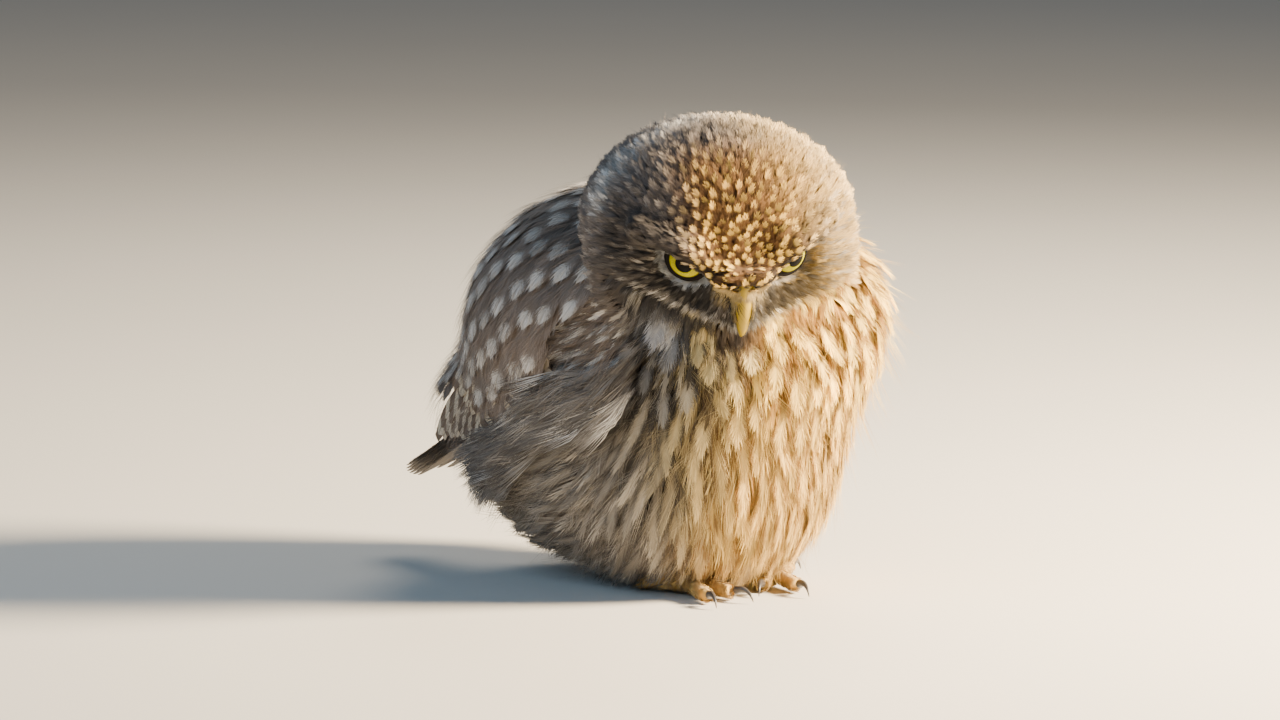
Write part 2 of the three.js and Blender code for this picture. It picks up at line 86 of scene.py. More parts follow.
HEAD_AT = np.array([-16.5, -1.5, 122.6])
HEAD_TURN = Euler((math.radians(17), math.radians(-1.8), math.radians(-41.5)), "YXZ")
SKULL = ([0, 0, 0], [45, 38, 33])
NAPE = ([0, 14, -6], [41, 32, 32])
CHEEK = ([23, -11, -12], [21, 21, 20])
CHIN = ([0, -22, -20], [19, 16, 14])
LORE = ([0, -31, -5], [9.5, 12, 12])
BROW_IN = np.array([5, -39.3, -2.3])
BROW_MID = np.array([18.5, -36.2, 6.2])
BROW_OUT = np.array([31, -26.0, 9.6])
BROW_R = 3.6
HEAD_BLEND = 7
BROW_BLEND = 4
HEAD_JOIN = 5
HEAD_MIDDLE = np.array([0, -4, -2.0])

EYE_AT = np.array([13.9, -29.3, 1.8])
EYE_R = 8.4
EYE_OUT = 27
EYE_DOWN = 0.04
LID_R = 6.9
LID_THICK = 1.0
IRIS_FORWARD = math.sqrt(EYE_R**2 - LID_R**2)
SOCKET = np.array([9.6, 7.5, 8.8])
SOCKET_FORWARD = 2.2
HOOD = 2.6
FRINGE = ([0, -41.2, -1.6], [11, 7.4, 4.6])

BILL_ROOT = np.array([0, -35.5, -1.5])
BILL_LENGTH = 21
BILL_WIDTH = 11.8
BILL_DEPTH = 9.2
BILL_RADII = (3.9, 3.4, 2.6)
BILL_ROUTE = [(0, 0.15), (-6.2, -0.15), (-8.8, -0.5), (-8.5, -0.8), (-6.0, -1)]

# Feet, legs and their claws

FEET = {1: np.array([14, 1, 0.0]), -1: np.array([-18, 10, 0.0])}
FEET_HEADING = 32
FOOT_SPLAY = 5
FOOT_PAD = ([0, 0, 4.4], [6.2, 6.6, 4.6])
TOES = {"inner": (22, 19), "middle": (-8, 22), "outer": (-140, 16), "hind": (164, 11)}
TOE_OUT = 2.5
TOE_LOW = 4.2
TOE_DROP = 1.1
TOE_CORE = 2.9
TOE_SKIN = 2.6
CLAW_LONG = 9.5
CLAW_R = 1.5
LEG_UP = np.array([0, 2, 19.0])
LEG_SIZE = [8.5, 9, 12.5]

# The folded wings and the tail

WING_SPINE = np.array([[0, -2, 100], [0, 66, 84], [0, 106, 40.0]])
WING_TIPS = ([0, 84, 50], [27, 34, 25])
WING_BLEND = 14
WING_LIFT = (1.6, 5.0)
UNDER_LIFT = (1.0, 4.0)
FLIGHT_LIFT = (0.4, 3.0)
TAIL_ROOT = np.array([0, 76, 60.0])
TAIL_TIP = np.array([0, 141, 28.0])
TAIL_FEATHERS = 12


def shade(red, green, blue):
    """A colour as seen on a screen, from 0 to 255, as Blender's linear values."""
    seen = np.array([red, green, blue]) / 255
    low = seen / 12.92
    high = ((seen + 0.055) / 1.055) ** 2.4
    return tuple(float(v) for v in np.where(seen <= 0.04045, low, high))


def colour(name, description, seen):
    return bpy.props.FloatVectorProperty(
        name=name, description=description, default=shade(*seen), subtype="COLOR", min=0, max=1
    )


def length(name, description, millimetres):
    return bpy.props.FloatProperty(
        name=name, description=description, default=millimetres * MM, min=0, subtype="DISTANCE", unit="LENGTH"
    )


class OwlSizes(bpy.types.PropertyGroup):
    """Sizes of the coat and the eyes."""

    face_coat: length("Face coat", "Depth of the plumage on the face", 1.8)
    brow_coat: length("Brow coat", "Depth of the plumage on the brows", 1.1)
    crown_coat: length("Crown coat", "Depth of the plumage on the crown and nape", 5)
    body_coat: length("Body coat", "Depth of the plumage on the body", 9)
    foot_coat: length("Foot coat", "Depth of the bristles on legs and toes", 0.9)
    bill_feather: length("Shortest feather", "Length of the feathers beside the bill", 2.6)
    nape_feather: length("Nape feather", "Length of the feathers on the nape", 11.5)
    breast_feather: length("Breast feather", "Length of the feathers on the breast", 14.5)
    belly_feather: length("Belly feather", "Length of the feathers on the belly and flanks", 29)
    toe_feather: length("Toe feather", "Length of the bristles on the toes", 3.4)
    iris: length("Iris", "Radius of the iris", 5.8)
    pupil: length("Pupil", "Radius of the pupil", 2.9)
    cornea: length("Cornea", "How far the cornea bulges from the eyeball", 1.1)


class OwlColours(bpy.types.PropertyGroup):
    """Colours of the plumage and the bare parts."""

    crown: colour("Crown", "Ground colour of the crown", (108, 100, 95))
    forehead: colour("Forehead", "Ground colour of the forehead", (108, 76, 40))
    # The same warm cream is laid on the bird's left side of the head and face as painted sunlight.
    crown_spot: colour("Crown spots", "Spots of the crown and forehead", (240, 198, 98))
    crown_mark: colour("Crown marks", "Dim spots of the crown's sides", (150, 142, 134))
    curl: colour("Curl", "The pale tuft below the face on its shaded side", (238, 242, 252))
    # Also the cool white of the face's pale rim on its shaded side, as painted shade.
    nape_spot: colour("Nape patch", "The pale patches on the nape", (222, 218, 212))
    # The disc's ground is as dark as it looks in shade, partly its own colour and partly painted shade; its
    # sunlit side is painted lighter.
    face: colour("Face", "Ground colour of the facial disc", (46, 41, 38))
    face_streak: colour("Face streaks", "Pale hairs of the facial disc", (150, 144, 136))
    eye_ring: colour("Eye ring", "The short feathers under the eyes", (206, 210, 214))
    smudge: colour("Smudge", "The dark patches below the eyes", (18, 17, 18))
    lore: colour("Lores", "The bristles between the eyes and the bill", (164, 144, 98))
    # Also the warm rim under the face on its sunlit side, as painted light, and the cooler pale of the breast
    # on its shaded side, as painted shade.
    collar: colour("Collar", "The pale rim under the face", (226, 206, 156))
    breast: colour("Breast", "Pale ground of the breast", (255, 222, 122))
    breast_mark: colour("Breast marks", "Brown marks of the breast", (136, 94, 36))
    belly: colour("Belly", "Pale ground of the belly", (228, 194, 114))
    # Painted shade: near-black laid into the crease of the neck below the turned head, on the shaded side, and
    # under the bill; it also darkens the breast's brown marks on the shaded side.
    painted_shade: colour("Neck folds", "The dark folds below the turned head", (34, 32, 32))
    flank: colour("Flanks", "Ground colour of the long flank fluff", (116, 112, 109))
    mantle: colour("Mantle", "Ground colour of the back", (131, 119, 110))
    mantle_spot: colour("Mantle spots", "Oval spots of the back and wings", (224, 220, 214))
    flight: colour("Flight feathers", "Ground colour of the flight feathers", (92, 72, 54))
    flight_bar: colour("Flight bars", "Bars of the flight feathers", (212, 198, 174))
    tail: colour("Tail", "Ground colour of the tail", (78, 64, 52))
    tail_bar: colour("Tail bars", "Bars of the tail", (120, 100, 80))
    iris: colour("Iris", "The iris at its brightest", (180, 172, 4))
    lid: colour("Eyelids", "The bare rims of the lids", (14, 11, 10))
    bill: colour("Bill", "The bill's ridge", (158, 132, 2))
    # The bill's sides are painted darker than its ridge as painted shade, so the ridge looks lit; the same
    # colour darkens the bill towards its root.
    bill_side: colour("Bill sides", "The bill's sides near its root", (84, 78, 16))
    claw: colour("Claws", "The claws' grey horn", (74, 70, 68))
    toe: colour("Toes", "The toes under their bristles", (178, 144, 84))
    floor: colour("Floor", "The studio's floor", (216, 212, 204))


def tint(name):
    return np.array(getattr(bpy.context.scene.owl_colours, name), float)


def millimetres(name):
    return getattr(bpy.context.scene.owl_sizes, name) / MM


# Small vector tools, for many places at once


def unit(v):
    return v / np.maximum(np.linalg.norm(v, axis=-1, keepdims=True), 1e-9)


def smooth(low, high, x):
    t = np.clip((x - low) / (high - low), 0, 1)
    return t * t * (3 - 2 * t)


def mix(a, b, t):
    return a + (b - a) * t


def along_surface(way, normal):
    """The part of a direction that runs along the surface."""
    return unit(way - normal * (way * normal).sum(-1, keepdims=True))


def across_x(v):
    return np.asarray(v, float) * [-1, 1, 1]


HEAD_AXES = np.array(HEAD_TURN.to_matrix())


def to_head(p):
    """Places in the bird's frame, seen in the head's own."""
    return (p - HEAD_AT) @ HEAD_AXES


def from_head(q):
    return q @ HEAD_AXES.T + HEAD_AT


def eye_axes(side):
    """The eye's place in the head and its axes as rows: across, out along its line, up."""
    aside = math.radians(EYE_OUT)
    out = unit(np.array([side * math.sin(aside), -math.cos(aside), -EYE_DOWN]))
    over = unit(np.cross(out, [0, 0, 1]))
    at = EYE_AT if side > 0 else across_x(EYE_AT)
    return at, np.stack([over, out, np.cross(over, out)])


# Fields: each gives about the distance outside a rounded form, negative inside


def ellipsoid(at, size):
    at = np.array(at, float)
    size = np.array(size, float)

    def field(p):
        q = p - at
        near = np.linalg.norm(q / size, axis=-1)
        slope = np.linalg.norm(q / size**2, axis=-1)
        return np.where(slope > 1e-6, near * (near - 1) / np.maximum(slope, 1e-6), -size.min())

    return field


def rod(start, end, radius):
    along = end - start

    def field(p):
        share = np.clip((p - start) @ along / (along @ along), 0, 1)
        return np.linalg.norm(p - start - share[..., None] * along, axis=-1) - radius

    return field


def soften(a, b, k):
    return np.minimum(a, b) - np.maximum(k - np.abs(a - b), 0) ** 2 / (4 * k)


def blend(k, *fields):
    def field(p):
        value = fields[0](p)
        for other in fields[1:]:
            value = soften(value, other(p), k)
        return value

    return field


def mirrored(form):
    return (list(across_x(form[0])), form[1])


body_field = blend(BODY_BLEND, *[ellipsoid(*form) for form in (CHEST, RUFF, BACK, BELLY, VENT)])
neck_field = ellipsoid(*NECK)
brow_field = blend(
    0.8,
    rod(BROW_IN, BROW_MID, BROW_R),
    rod(BROW_MID, BROW_OUT, BROW_R),
    rod(across_x(BROW_IN), across_x(BROW_MID), BROW_R),
    rod(across_x(BROW_MID), across_x(BROW_OUT), BROW_R),
)
skull_field = blend(
    BROW_BLEND,
    blend(HEAD_BLEND, *[ellipsoid(*form) for form in (SKULL, NAPE, CHEEK, mirrored(CHEEK), CHIN, LORE)]),
    brow_field,
)
wing_field = blend(WING_BLEND, body_field, ellipsoid(*WING_TIPS))


def brow_edge(wide):
    """The height of the brows' lower edge in the head's frame, at each distance from its middle."""
    return np.interp(wide, [0, 8, 13, 20, 30, 45], [-5.8, -5.2, -1.4, 2.8, 5.0, 2])


# The forehead's feathers that hang over the bill's root
fringe_field = ellipsoid(*FRINGE)


def hood_field(q):
    """The lids' upper halves, which fill the space between the brows and the eyeballs."""
    wide = np.abs(q[..., 0])
    over = np.linalg.norm(np.stack([wide, q[..., 1], q[..., 2]], -1) - EYE_AT, axis=-1) - EYE_R - HOOD
    return np.maximum(over, brow_edge(wide) + 2.4 - q[..., 2])


def bill_field(q):
    """The upper bill as a chain of rods."""
    spots = [BILL_ROOT + [0, y, z * BILL_LENGTH] for y, z in BILL_ROUTE[:4]]
    return blend(1.5, *[rod(a, b, r) for a, b, r in zip(spots, spots[1:], BILL_RADII)])(q)


def socket_field(q, side):
    at, axes = eye_axes(side)
    bowl = at + axes[1] * (IRIS_FORWARD + SOCKET_FORWARD)
    return ellipsoid([0, 0, 0], SOCKET)((q - bowl) @ axes.T)


def head_field(p):
    """The head, with a bowl before each eye and the brows hanging over them."""
    q = to_head(p)
    value = skull_field(q)
    for side in (1, -1):
        value = -soften(-value, socket_field(q, side), 2)
    value = soften(soften(value, brow_field(q), 1), hood_field(q), 1)
    return soften(value, fringe_field(q), 2.5)


def toe_way(side, turn):
    angle = -math.radians(FEET_HEADING) - side * math.radians(FOOT_SPLAY + turn)
    return np.array([math.sin(angle), -math.cos(angle), 0])


def foot_field(p):
    forms = []
    for side, at in FEET.items():
        pad_at, pad_size = FOOT_PAD
        forms.append(ellipsoid(at + pad_at, pad_size))
        forms.append(ellipsoid(at + LEG_UP, LEG_SIZE))
        for turn, long in TOES.values():
            way = toe_way(side, turn)
            heel = at + way * TOE_OUT + [0, 0, TOE_LOW]
            tip = at + way * (long + TOE_OUT - TOE_SKIN) + [0, 0, TOE_LOW - TOE_DROP]
            forms.append(rod(heel, tip, TOE_CORE))
    return blend(2, *forms)(p)


def trunk_field(p):
    return soften(body_field(p), neck_field(p), NECK_BLEND)


def outline(p):
    """The whole bird's outline at its feathers' tips."""
    return soften(soften(trunk_field(p), head_field(p), HEAD_JOIN), foot_field(p), 2)


SLOPE_STEP = 0.35


def slope(field, p):
    """The field's gradient, from four places round each point."""
    corners = np.array([[1, -1, -1], [-1, -1, 1], [-1, 1, -1], [1, 1, 1.0]])
    return sum(c * field(p + c * SLOPE_STEP)[..., None] for c in corners) / (4 * SLOPE_STEP)


def settle(field, p, level, rounds):
    """Moves places straight to a level of the field."""
    for _ in range(rounds):
        g = slope(field, p)
        off = (field(p) - level)[..., None]
        p = p - np.clip(off / np.maximum((g * g).sum(-1, keepdims=True), 0.2), -6, 6) * g
    return p


# What grows where


def face_edge(x):
    """The height of the face's lower rim in the head's frame."""
    return -23.5 + np.where(x > 0, 0.29, 0.42) * np.abs(x)


def on_head(p):
    """1 on the head and 0 on the trunk, parted sharply along the face's rim and softly at the neck."""
    q = to_head(p)
    front = smooth(-16, -24, q[..., 1]) * smooth(48, 41, np.abs(q[..., 0]))
    share = smooth(4, -4, head_field(p) - trunk_field(p))
    return mix(share, smooth(-1.2, 1.2, q[..., 2] - face_edge(q[..., 0])), front)


def on_foot(p):
    return smooth(2, -1, foot_field(p) - trunk_field(p)) * smooth(30, 16, p[..., 2])


def eye_distance(q):
    """From the nearer eyeball's middle, and where that middle is."""
    side = np.where(q[..., 0] > 0, 1.0, -1.0)
    at = EYE_AT * np.stack([side, np.ones_like(side), np.ones_like(side)], -1)
    return np.linalg.norm(q - at, axis=-1), at


def bill_distance(q):
    return np.linalg.norm(q - BILL_ROOT, axis=-1)


def coat_depth(p):
    q = to_head(p)
    from_bill = bill_distance(q)
    head = mix(millimetres("face_coat"), millimetres("crown_coat"), smooth(16, 48, from_bill))
    on_brow = smooth(2.5, 0, brow_field(q)) * smooth(34, 26, np.abs(q[..., 0]))
    head = mix(head, millimetres("brow_coat"), on_brow)
    depth = mix(millimetres("body_coat"), head, on_head(p))
    return mix(depth, millimetres("foot_coat"), on_foot(p))


def skin_field(p):
    return outline(p) + coat_depth(p)


FROM_BILL_TO_NAPE = 78
OVER_TOES = 19


def feather_length(p):
    to_nape = np.clip(bill_distance(to_head(p)) / FROM_BILL_TO_NAPE, 0, 1)
    head = mix(millimetres("bill_feather"), millimetres("nape_feather"), to_nape)
    body = mix(millimetres("breast_feather"), millimetres("belly_feather"), smooth(104, 48, p[..., 2]))
    long = mix(body, head, on_head(p))
    from_feet = np.min([np.hypot(*(p - at)[..., :2].T) for at in FEET.values()], axis=0)
    near_toes = smooth(16, 3, p[..., 2]) * smooth(26, 12, from_feet)
    long = mix(long, OVER_TOES, near_toes * (1 - on_foot(p)))
    return mix(long, millimetres("toe_feather"), on_foot(p))


BILL_SOURCE = np.array([0, -41, -5.0])
DISC_R = 12.5
BESIDE_BILL = 13
ROUND_FOOT = 16


def lie(p, normal):
    """The way the plumage lies: from the bill over the head, round the eyes, and down to the vent."""
    q = to_head(p)
    distance, eye = eye_distance(q)
    over_head = unit(q - BILL_SOURCE)
    from_eye = unit(q - eye)
    under = smooth(1, -3, q[..., 2] - brow_edge(np.abs(q[..., 0])))
    ring = np.exp(-((distance / DISC_R) ** 2)) * 1.9 * under
    beside = np.exp(-((bill_distance(q) / BESIDE_BILL) ** 2)) * under
    head_way = over_head + from_eye * ring[..., None] + np.array([0, 0, -1.4]) * beside[..., None]
    head_way = unit(head_way) @ HEAD_AXES.T
    droop = np.radians(27 + 51 * smooth(46, -20, p[..., 1]))
    body_way = unit(np.stack([-p[..., 0] / 160, np.cos(droop), -np.sin(droop)], -1))
    head = on_head(p)[..., None]
    way = mix(body_way, head_way, head)
    away = np.zeros_like(p)
    for at in FEET.values():
        off = (p - at) * [1, 1, 0]
        away += unit(off) * np.exp(-((np.linalg.norm(off, axis=-1, keepdims=True) / ROUND_FOOT) ** 2))
    foot = on_foot(p)[..., None]
    return along_surface(mix(way, unit(away + [0, 0, -0.5]), foot), normal)


# Markings and painted light: the same function colours the skin and the feathers that stand on it, and paints
# light and shade into both


def ripple(p, wave, seed):
    """A smooth, seeded unevenness from 0 to 1, with about `wave` millimetres between its swells."""
    k = 2 * math.pi / wave
    value = np.zeros(p.shape[:-1])
    for i in range(4):
        turn = [math.sin(1.7 * i + seed), math.cos(2.3 * i + seed * 1.3), math.sin(3.1 * i + 0.7 + seed)]
        value = value + np.sin(k * (p @ np.array(turn)) * (1 + 0.23 * i) + 2.1 * i + seed * 5)
    return np.clip(0.5 + value / 5, 0, 1)


def back_share(p):
    """1 on the back and 0 on the belly and breast."""
    high = smooth(52, 64, p[..., 2] + 0.3 * (p[..., 1] - 45))
    return high * smooth(4, 20, p[..., 1] - 0.1 * (p[..., 2] - 80))


def side_share(p):
    """1 on the flanks and 0 in front."""
    return smooth(-16, 12, p[..., 1] - 0.15 * np.abs(p[..., 0]))


def neck_shade_share(p):
    """1 where shade is painted into the crease of the neck below the turned head, on the side the head is
    turned to, which is the side in shade.
    """
    painted_shade = smooth(-38, -47, p[..., 0]) * smooth(52, 64, p[..., 2])
    return painted_shade * smooth(46, 34, p[..., 1]) * smooth(-15, -7, p[..., 1])


def markings_and_painted_light(p, chance, near):
    """Ground and mark colour at places, with how much mark each feather there carries. `chance` is 0 on a
    spotted feather and 1 on a plain one; `near` is 1 in the body's pale patches."""
    q = to_head(p)
    x, y, z = q[..., 0], q[..., 1], q[..., 2]
    head = on_head(p)
    foot = on_foot(p)
    distance = eye_distance(q)[0]
    wide = np.abs(x)
    from_bill = bill_distance(q)

    def lay_on(base, name, amount):
        return mix(base, tint(name), amount[..., None])

    # The face
    front = smooth(-6, -20, y)
    # The forehead's rusty ground reaches further onto the bird's left than its right: partly the forehead's
    # own colour, partly painted light on the sunlit side.
    rusty = smooth(-2, -22, y) * smooth(-25, -9, x) * smooth(36, 14, x)
    # sunny is the bird's left side of the head, the sunlit side, where light is painted into the colours.
    sunny = smooth(-2, 28, x + 0.4 * (y + 10))
    ground = lay_on(np.broadcast_to(tint("crown"), p.shape), "forehead", rusty)
    mark = lay_on(np.broadcast_to(tint("crown_mark"), p.shape), "crown_spot", rusty)
    amount = (1 - chance) * mix(0.7, 0.95, rusty) * mix(1, 0.45, smooth(7, 24, z))
    ground = ground * mix(0.7, 1.2, ripple(q, 6.5, 3.0))[..., None]
    # Painted sunlight: on the sunlit side the crown's ground and the nape patches turn towards a warm cream.
    ground = mix(ground, tint("crown_spot"), (0.34 * sunny)[..., None])
    nape = np.exp(-(((y - 17 + 0.5 * wide) / 7) ** 2)) * smooth(2, 12, z)
    nape_mark = mix(tint("nape_spot"), tint("crown_spot"), (0.65 * sunny)[..., None])
    mark = mix(mark, nape_mark, np.minimum(1.5 * nape, 1)[..., None])
    ground = mix(ground, mark, (nape * 0.22)[..., None])
    amount = np.maximum(amount, nape * mix(0.9, 0.25, chance))
    # Painted shade under the brows: the feathers at the brows' lower edge are darkened across the front, and
    # further up on the bird's right, the side in shade, where their spots fade too.
    fringe = front * smooth(7.5, 2.0, z - brow_edge(wide)) * smooth(34, 26, wide)
    heavy = front * smooth(13, 8, z - brow_edge(wide)) * smooth(-16, -22, x)
    ground = ground * (1 - np.maximum(0.86 * fringe, 0.6 * heavy)[..., None])
    amount = amount * (1 - 0.85 * heavy)
    disc = front * smooth(1, -1, z - brow_edge(wide)) * smooth(48, 36, from_bill)
    hair = ripple(q, 5, 1.0)
    # bright is the bird's left side of the face, the sunlit side: there the disc is painted a lighter gold as
    # painted sunlight and carries more streaks.
    bright = smooth(2, 24, x)
    beads = face_edge(x)
    lit = 0.6 * bright * mix(0.2, 1, hair)
    ground = mix(ground, mix(tint("face"), tint("crown_spot"), lit[..., None]), disc[..., None])
    mark = lay_on(mark, "face_streak", disc)
    amount = mix(amount, 0.15 + 0.6 * (1 - chance) + 0.25 * bright, disc)
    ring = disc * smooth(12.0, 10.6, distance + 1.5 * (hair - 0.5)) * mix(0.3, 1, smooth(6, -2, x))
    smudge = disc * smooth(11.2, 12.8, distance) * smooth(beads + 0.5, beads + 2.0, z) * smooth(38, 20, wide)
    smudge = smudge * smooth(6, 10, wide) * smooth(2, -6, z) * mix(0.75, 1, hair)
    ground = lay_on(ground, "smudge", smudge * 0.9)
    amount = amount * (1 - 0.85 * smudge)
    ground = lay_on(ground, "eye_ring", ring * 0.9)
    amount = amount * (1 - ring)
    lore = disc * smooth(15, 10, from_bill) * smooth(10, 6, wide)
    ground = lay_on(ground, "lore", lore)
    amount = amount * (1 - 0.6 * lore)
    off_rim = np.abs(z - beads - 0.6 + 1.2 * (hair - 0.5))
    rim = head * smooth(-2, -14, y) * smooth(38, 31, wide) * smooth(1.7, 0.7, off_rim)
    # The pale rim is painted warm on the sunlit side as painted light and cool white on the shaded side as
    # painted shade.
    pearl = mix(tint("nape_spot"), tint("collar"), bright[..., None])
    ground = mix(ground, pearl, (rim * mix(0.95, 0.3, chance))[..., None])

    # The trunk
    low = smooth(78, 46, p[..., 2])
    pale = mix(np.broadcast_to(tint("breast"), p.shape), tint("belly"), low[..., None])
    # shaded is the bird's right side of the trunk, the side in shade: its pale ground is painted cooler and
    # darker and its brown marks near-black, as painted shade.
    shaded = smooth(-22, -44, p[..., 0])
    pale = lay_on(pale, "collar", 0.8 * shaded) * (1 - 0.22 * shaded[..., None])
    brown = mix(np.broadcast_to(tint("breast_mark"), p.shape), 1.4 * tint("painted_shade"), shaded[..., None])
    shown = mix(0.95 * near, 0.02 + 0.88 * near, low)
    trunk = mix(brown, pale, shown[..., None])
    back = back_share(p)
    flank = side_share(p) * (1 - back)
    # Part of the grey flank ground is the fluff's own colour and part is painted shade, reaching forward onto
    # the belly's sides. It is dimmer away from the pale patches and from each belly lock's middle, the dim
    # lock edges being painted shade in the grooves between the locks.
    trunk = mix(trunk, tint("flank") * (0.5 + 0.85 * near[..., None]), (flank * 0.92)[..., None])
    # Painted shade: near-black in the crease of the neck below the turned head, on the shaded side, and a dark
    # patch under the bill, partly painted shadow and partly the feathers' dark bases.
    painted_shade = neck_shade_share(p) * mix(0.97, 0.85, near)
    chin = np.exp(-((x / 5.5) ** 2) - ((z + 26) / 6) ** 2) * front
    painted_shade = np.maximum(painted_shade, 0.85 * chin)
    trunk = lay_on(trunk, "painted_shade", painted_shade)
    trunk = lay_on(trunk, "mantle", back)
    trunk_mark = lay_on(pale, "mantle_spot", np.maximum(np.maximum(back, painted_shade), 0.8 * flank))
    trunk_amount = mix(mix(0.35, 0.85, low) * mix(0.2, 1, near), 0.25 * near, np.maximum(flank, painted_shade))
    trunk_amount = np.where(back > 0.5, (1 - chance) * 0.9, trunk_amount)

    from_curl = ((wide - 23) / 5) ** 2 + ((y + 35) / 10) ** 2 + ((z - beads + 12.5) / 4) ** 2
    curl = np.exp(-from_curl) * smooth(2, -4, x)
    trunk = lay_on(trunk, "curl", curl)
    ground = mix(trunk, ground, head[..., None])
    mark = mix(trunk_mark, mark, head[..., None])
    amount = mix(trunk_amount, amount, head)
    ground = lay_on(ground, "toe", foot)
    ground = mix(ground, tint("belly"), (foot * near * 0.8)[..., None])
    return ground, mark, amount * (1 - foot)


# Meshes


def to_frame(p):
    return (np.asarray(p, float) + FRAME_SHIFT) * MM


def finish_piece(obj, replaced=()):
    """Says which body the piece rides on and which nodes it replaces."""
    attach(obj, "root")
    if replaced:
        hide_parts(*replaced)


def moved(verts, way):
    """Moves each vertex of a bmesh to where `way` takes its place."""
    for v in verts:
        v.co = Vector(way(np.array(v.co)))


def placed(verts, places):
    for v, p in zip(verts, places):
        v.co = Vector(p)


def poured(part, bm):
    """Empties one bmesh into another."""
    mesh = bpy.data.meshes.new("part")
    part.to_mesh(mesh)
    part.free()
    bm.from_mesh(mesh)
    bpy.data.meshes.remove(mesh)


def mesh_of(name, places, faces):
    """A smooth mesh object from places in millimetres and triangles."""
    mesh = bpy.data.meshes.new(name)
    mesh.vertices.add(len(places))
    mesh.vertices.foreach_set("co", to_frame(places).astype(np.float32).ravel())
    mesh.loops.add(faces.size)
    mesh.loops.foreach_set("vertex_index", faces.astype(np.int32).ravel())
    mesh.polygons.add(len(faces))
    mesh.polygons.foreach_set("loop_start", np.arange(0, faces.size, 3, dtype=np.int32))
    mesh.update(calc_edges=True)
    mesh.polygons.foreach_set("use_smooth", np.ones(len(faces), bool))
    obj = bpy.data.objects.new(name, mesh)
    bpy.context.scene.collection.objects.link(obj)
    return obj


def give(mesh, name, values):
    """Stores colours (four columns) or vectors (three columns) on the mesh's points."""
    kind, channel = ("FLOAT_COLOR", "color") if values.shape[1] == 4 else ("FLOAT_VECTOR", "vector")
    attribute = mesh.attributes.new(name, kind, "POINT")
    attribute.data.foreach_set(channel, values.astype(np.float32).ravel())


def object_from(bm, name, smooth_faces=True):
    """A mesh object from a bmesh in millimetres in the bird's frame."""
    moved(bm.verts, to_frame)
    bmesh.ops.recalc_face_normals(bm, faces=bm.faces)
    mesh = bpy.data.meshes.new(name)
    bm.to_mesh(mesh)
    bm.free()
    mesh.polygons.foreach_set("use_smooth", np.full(len(mesh.polygons), smooth_faces))
    obj = bpy.data.objects.new(name, mesh)
    bpy.context.scene.collection.objects.link(obj)
    return obj


def points_of(mesh):
    co = np.zeros(len(mesh.vertices) * 3, np.float32)
    mesh.vertices.foreach_get("co", co)
    return co.reshape(-1, 3).astype(float)


def apply_modifiers(obj):
    graph = bpy.context.evaluated_depsgraph_get()
    graph.update()
    mesh = bpy.data.meshes.new_from_object(obj.evaluated_get(graph))
    obj.modifiers.clear()
    old = obj.data
    obj.data = mesh
    bpy.data.meshes.remove(old)


# Limbs: tapered forms along a line


def curve_through(spots, share):
    """Places on a smooth line through the spots, at shares from 0 to 1."""
    spots = np.asarray(spots, float)
    padded = np.vstack([2 * spots[0] - spots[1], spots, 2 * spots[-1] - spots[-2]])
    place = np.clip(share, 0, 1) * (len(spots) - 1)
    first = np.minimum(place.astype(int), len(spots) - 2)
    t = (place - first)[:, None]
    a, b, c, d = (padded[first + k] for k in range(4))
    return 0.5 * (2 * b + (c - a) * t + (2 * a - 5 * b + 4 * c - d) * t**2 + (3 * b - a - 3 * c + d) * t**3)


def limb(bm, spots, radius, ahead, sides, rings):
    """A sphere drawn out along a line. `radius` gives half width and half depth from share and angle,
    with the angle at 90 degrees on the side towards `ahead`. Returns its vertices, shares and angles."""
    made = bmesh.ops.create_uvsphere(bm, u_segments=sides, v_segments=rings, radius=1)["verts"]
    ball = np.array([v.co for v in made])
    share = np.arccos(np.clip(ball[:, 2], -1, 1)) / math.pi
    angle = np.arctan2(ball[:, 1], ball[:, 0])
    opened = (np.hypot(ball[:, 0], ball[:, 1]) > 1e-4)[:, None]
    centre = curve_through(spots, share)
    along = unit(curve_through(spots, share + 0.01) - curve_through(spots, share - 0.01))
    across = unit(np.cross(along, ahead))
    front = np.cross(across, along)
    wide, deep = radius(share, angle)
    outward = across * (wide * np.cos(angle))[:, None] + front * (deep * np.sin(angle))[:, None]
    placed(made, centre + opened * outward)
    return made, share, angle


# Feather shapes, in a feather's own measures: across from -1 to 1, along from 0 to 1, height in millimetres


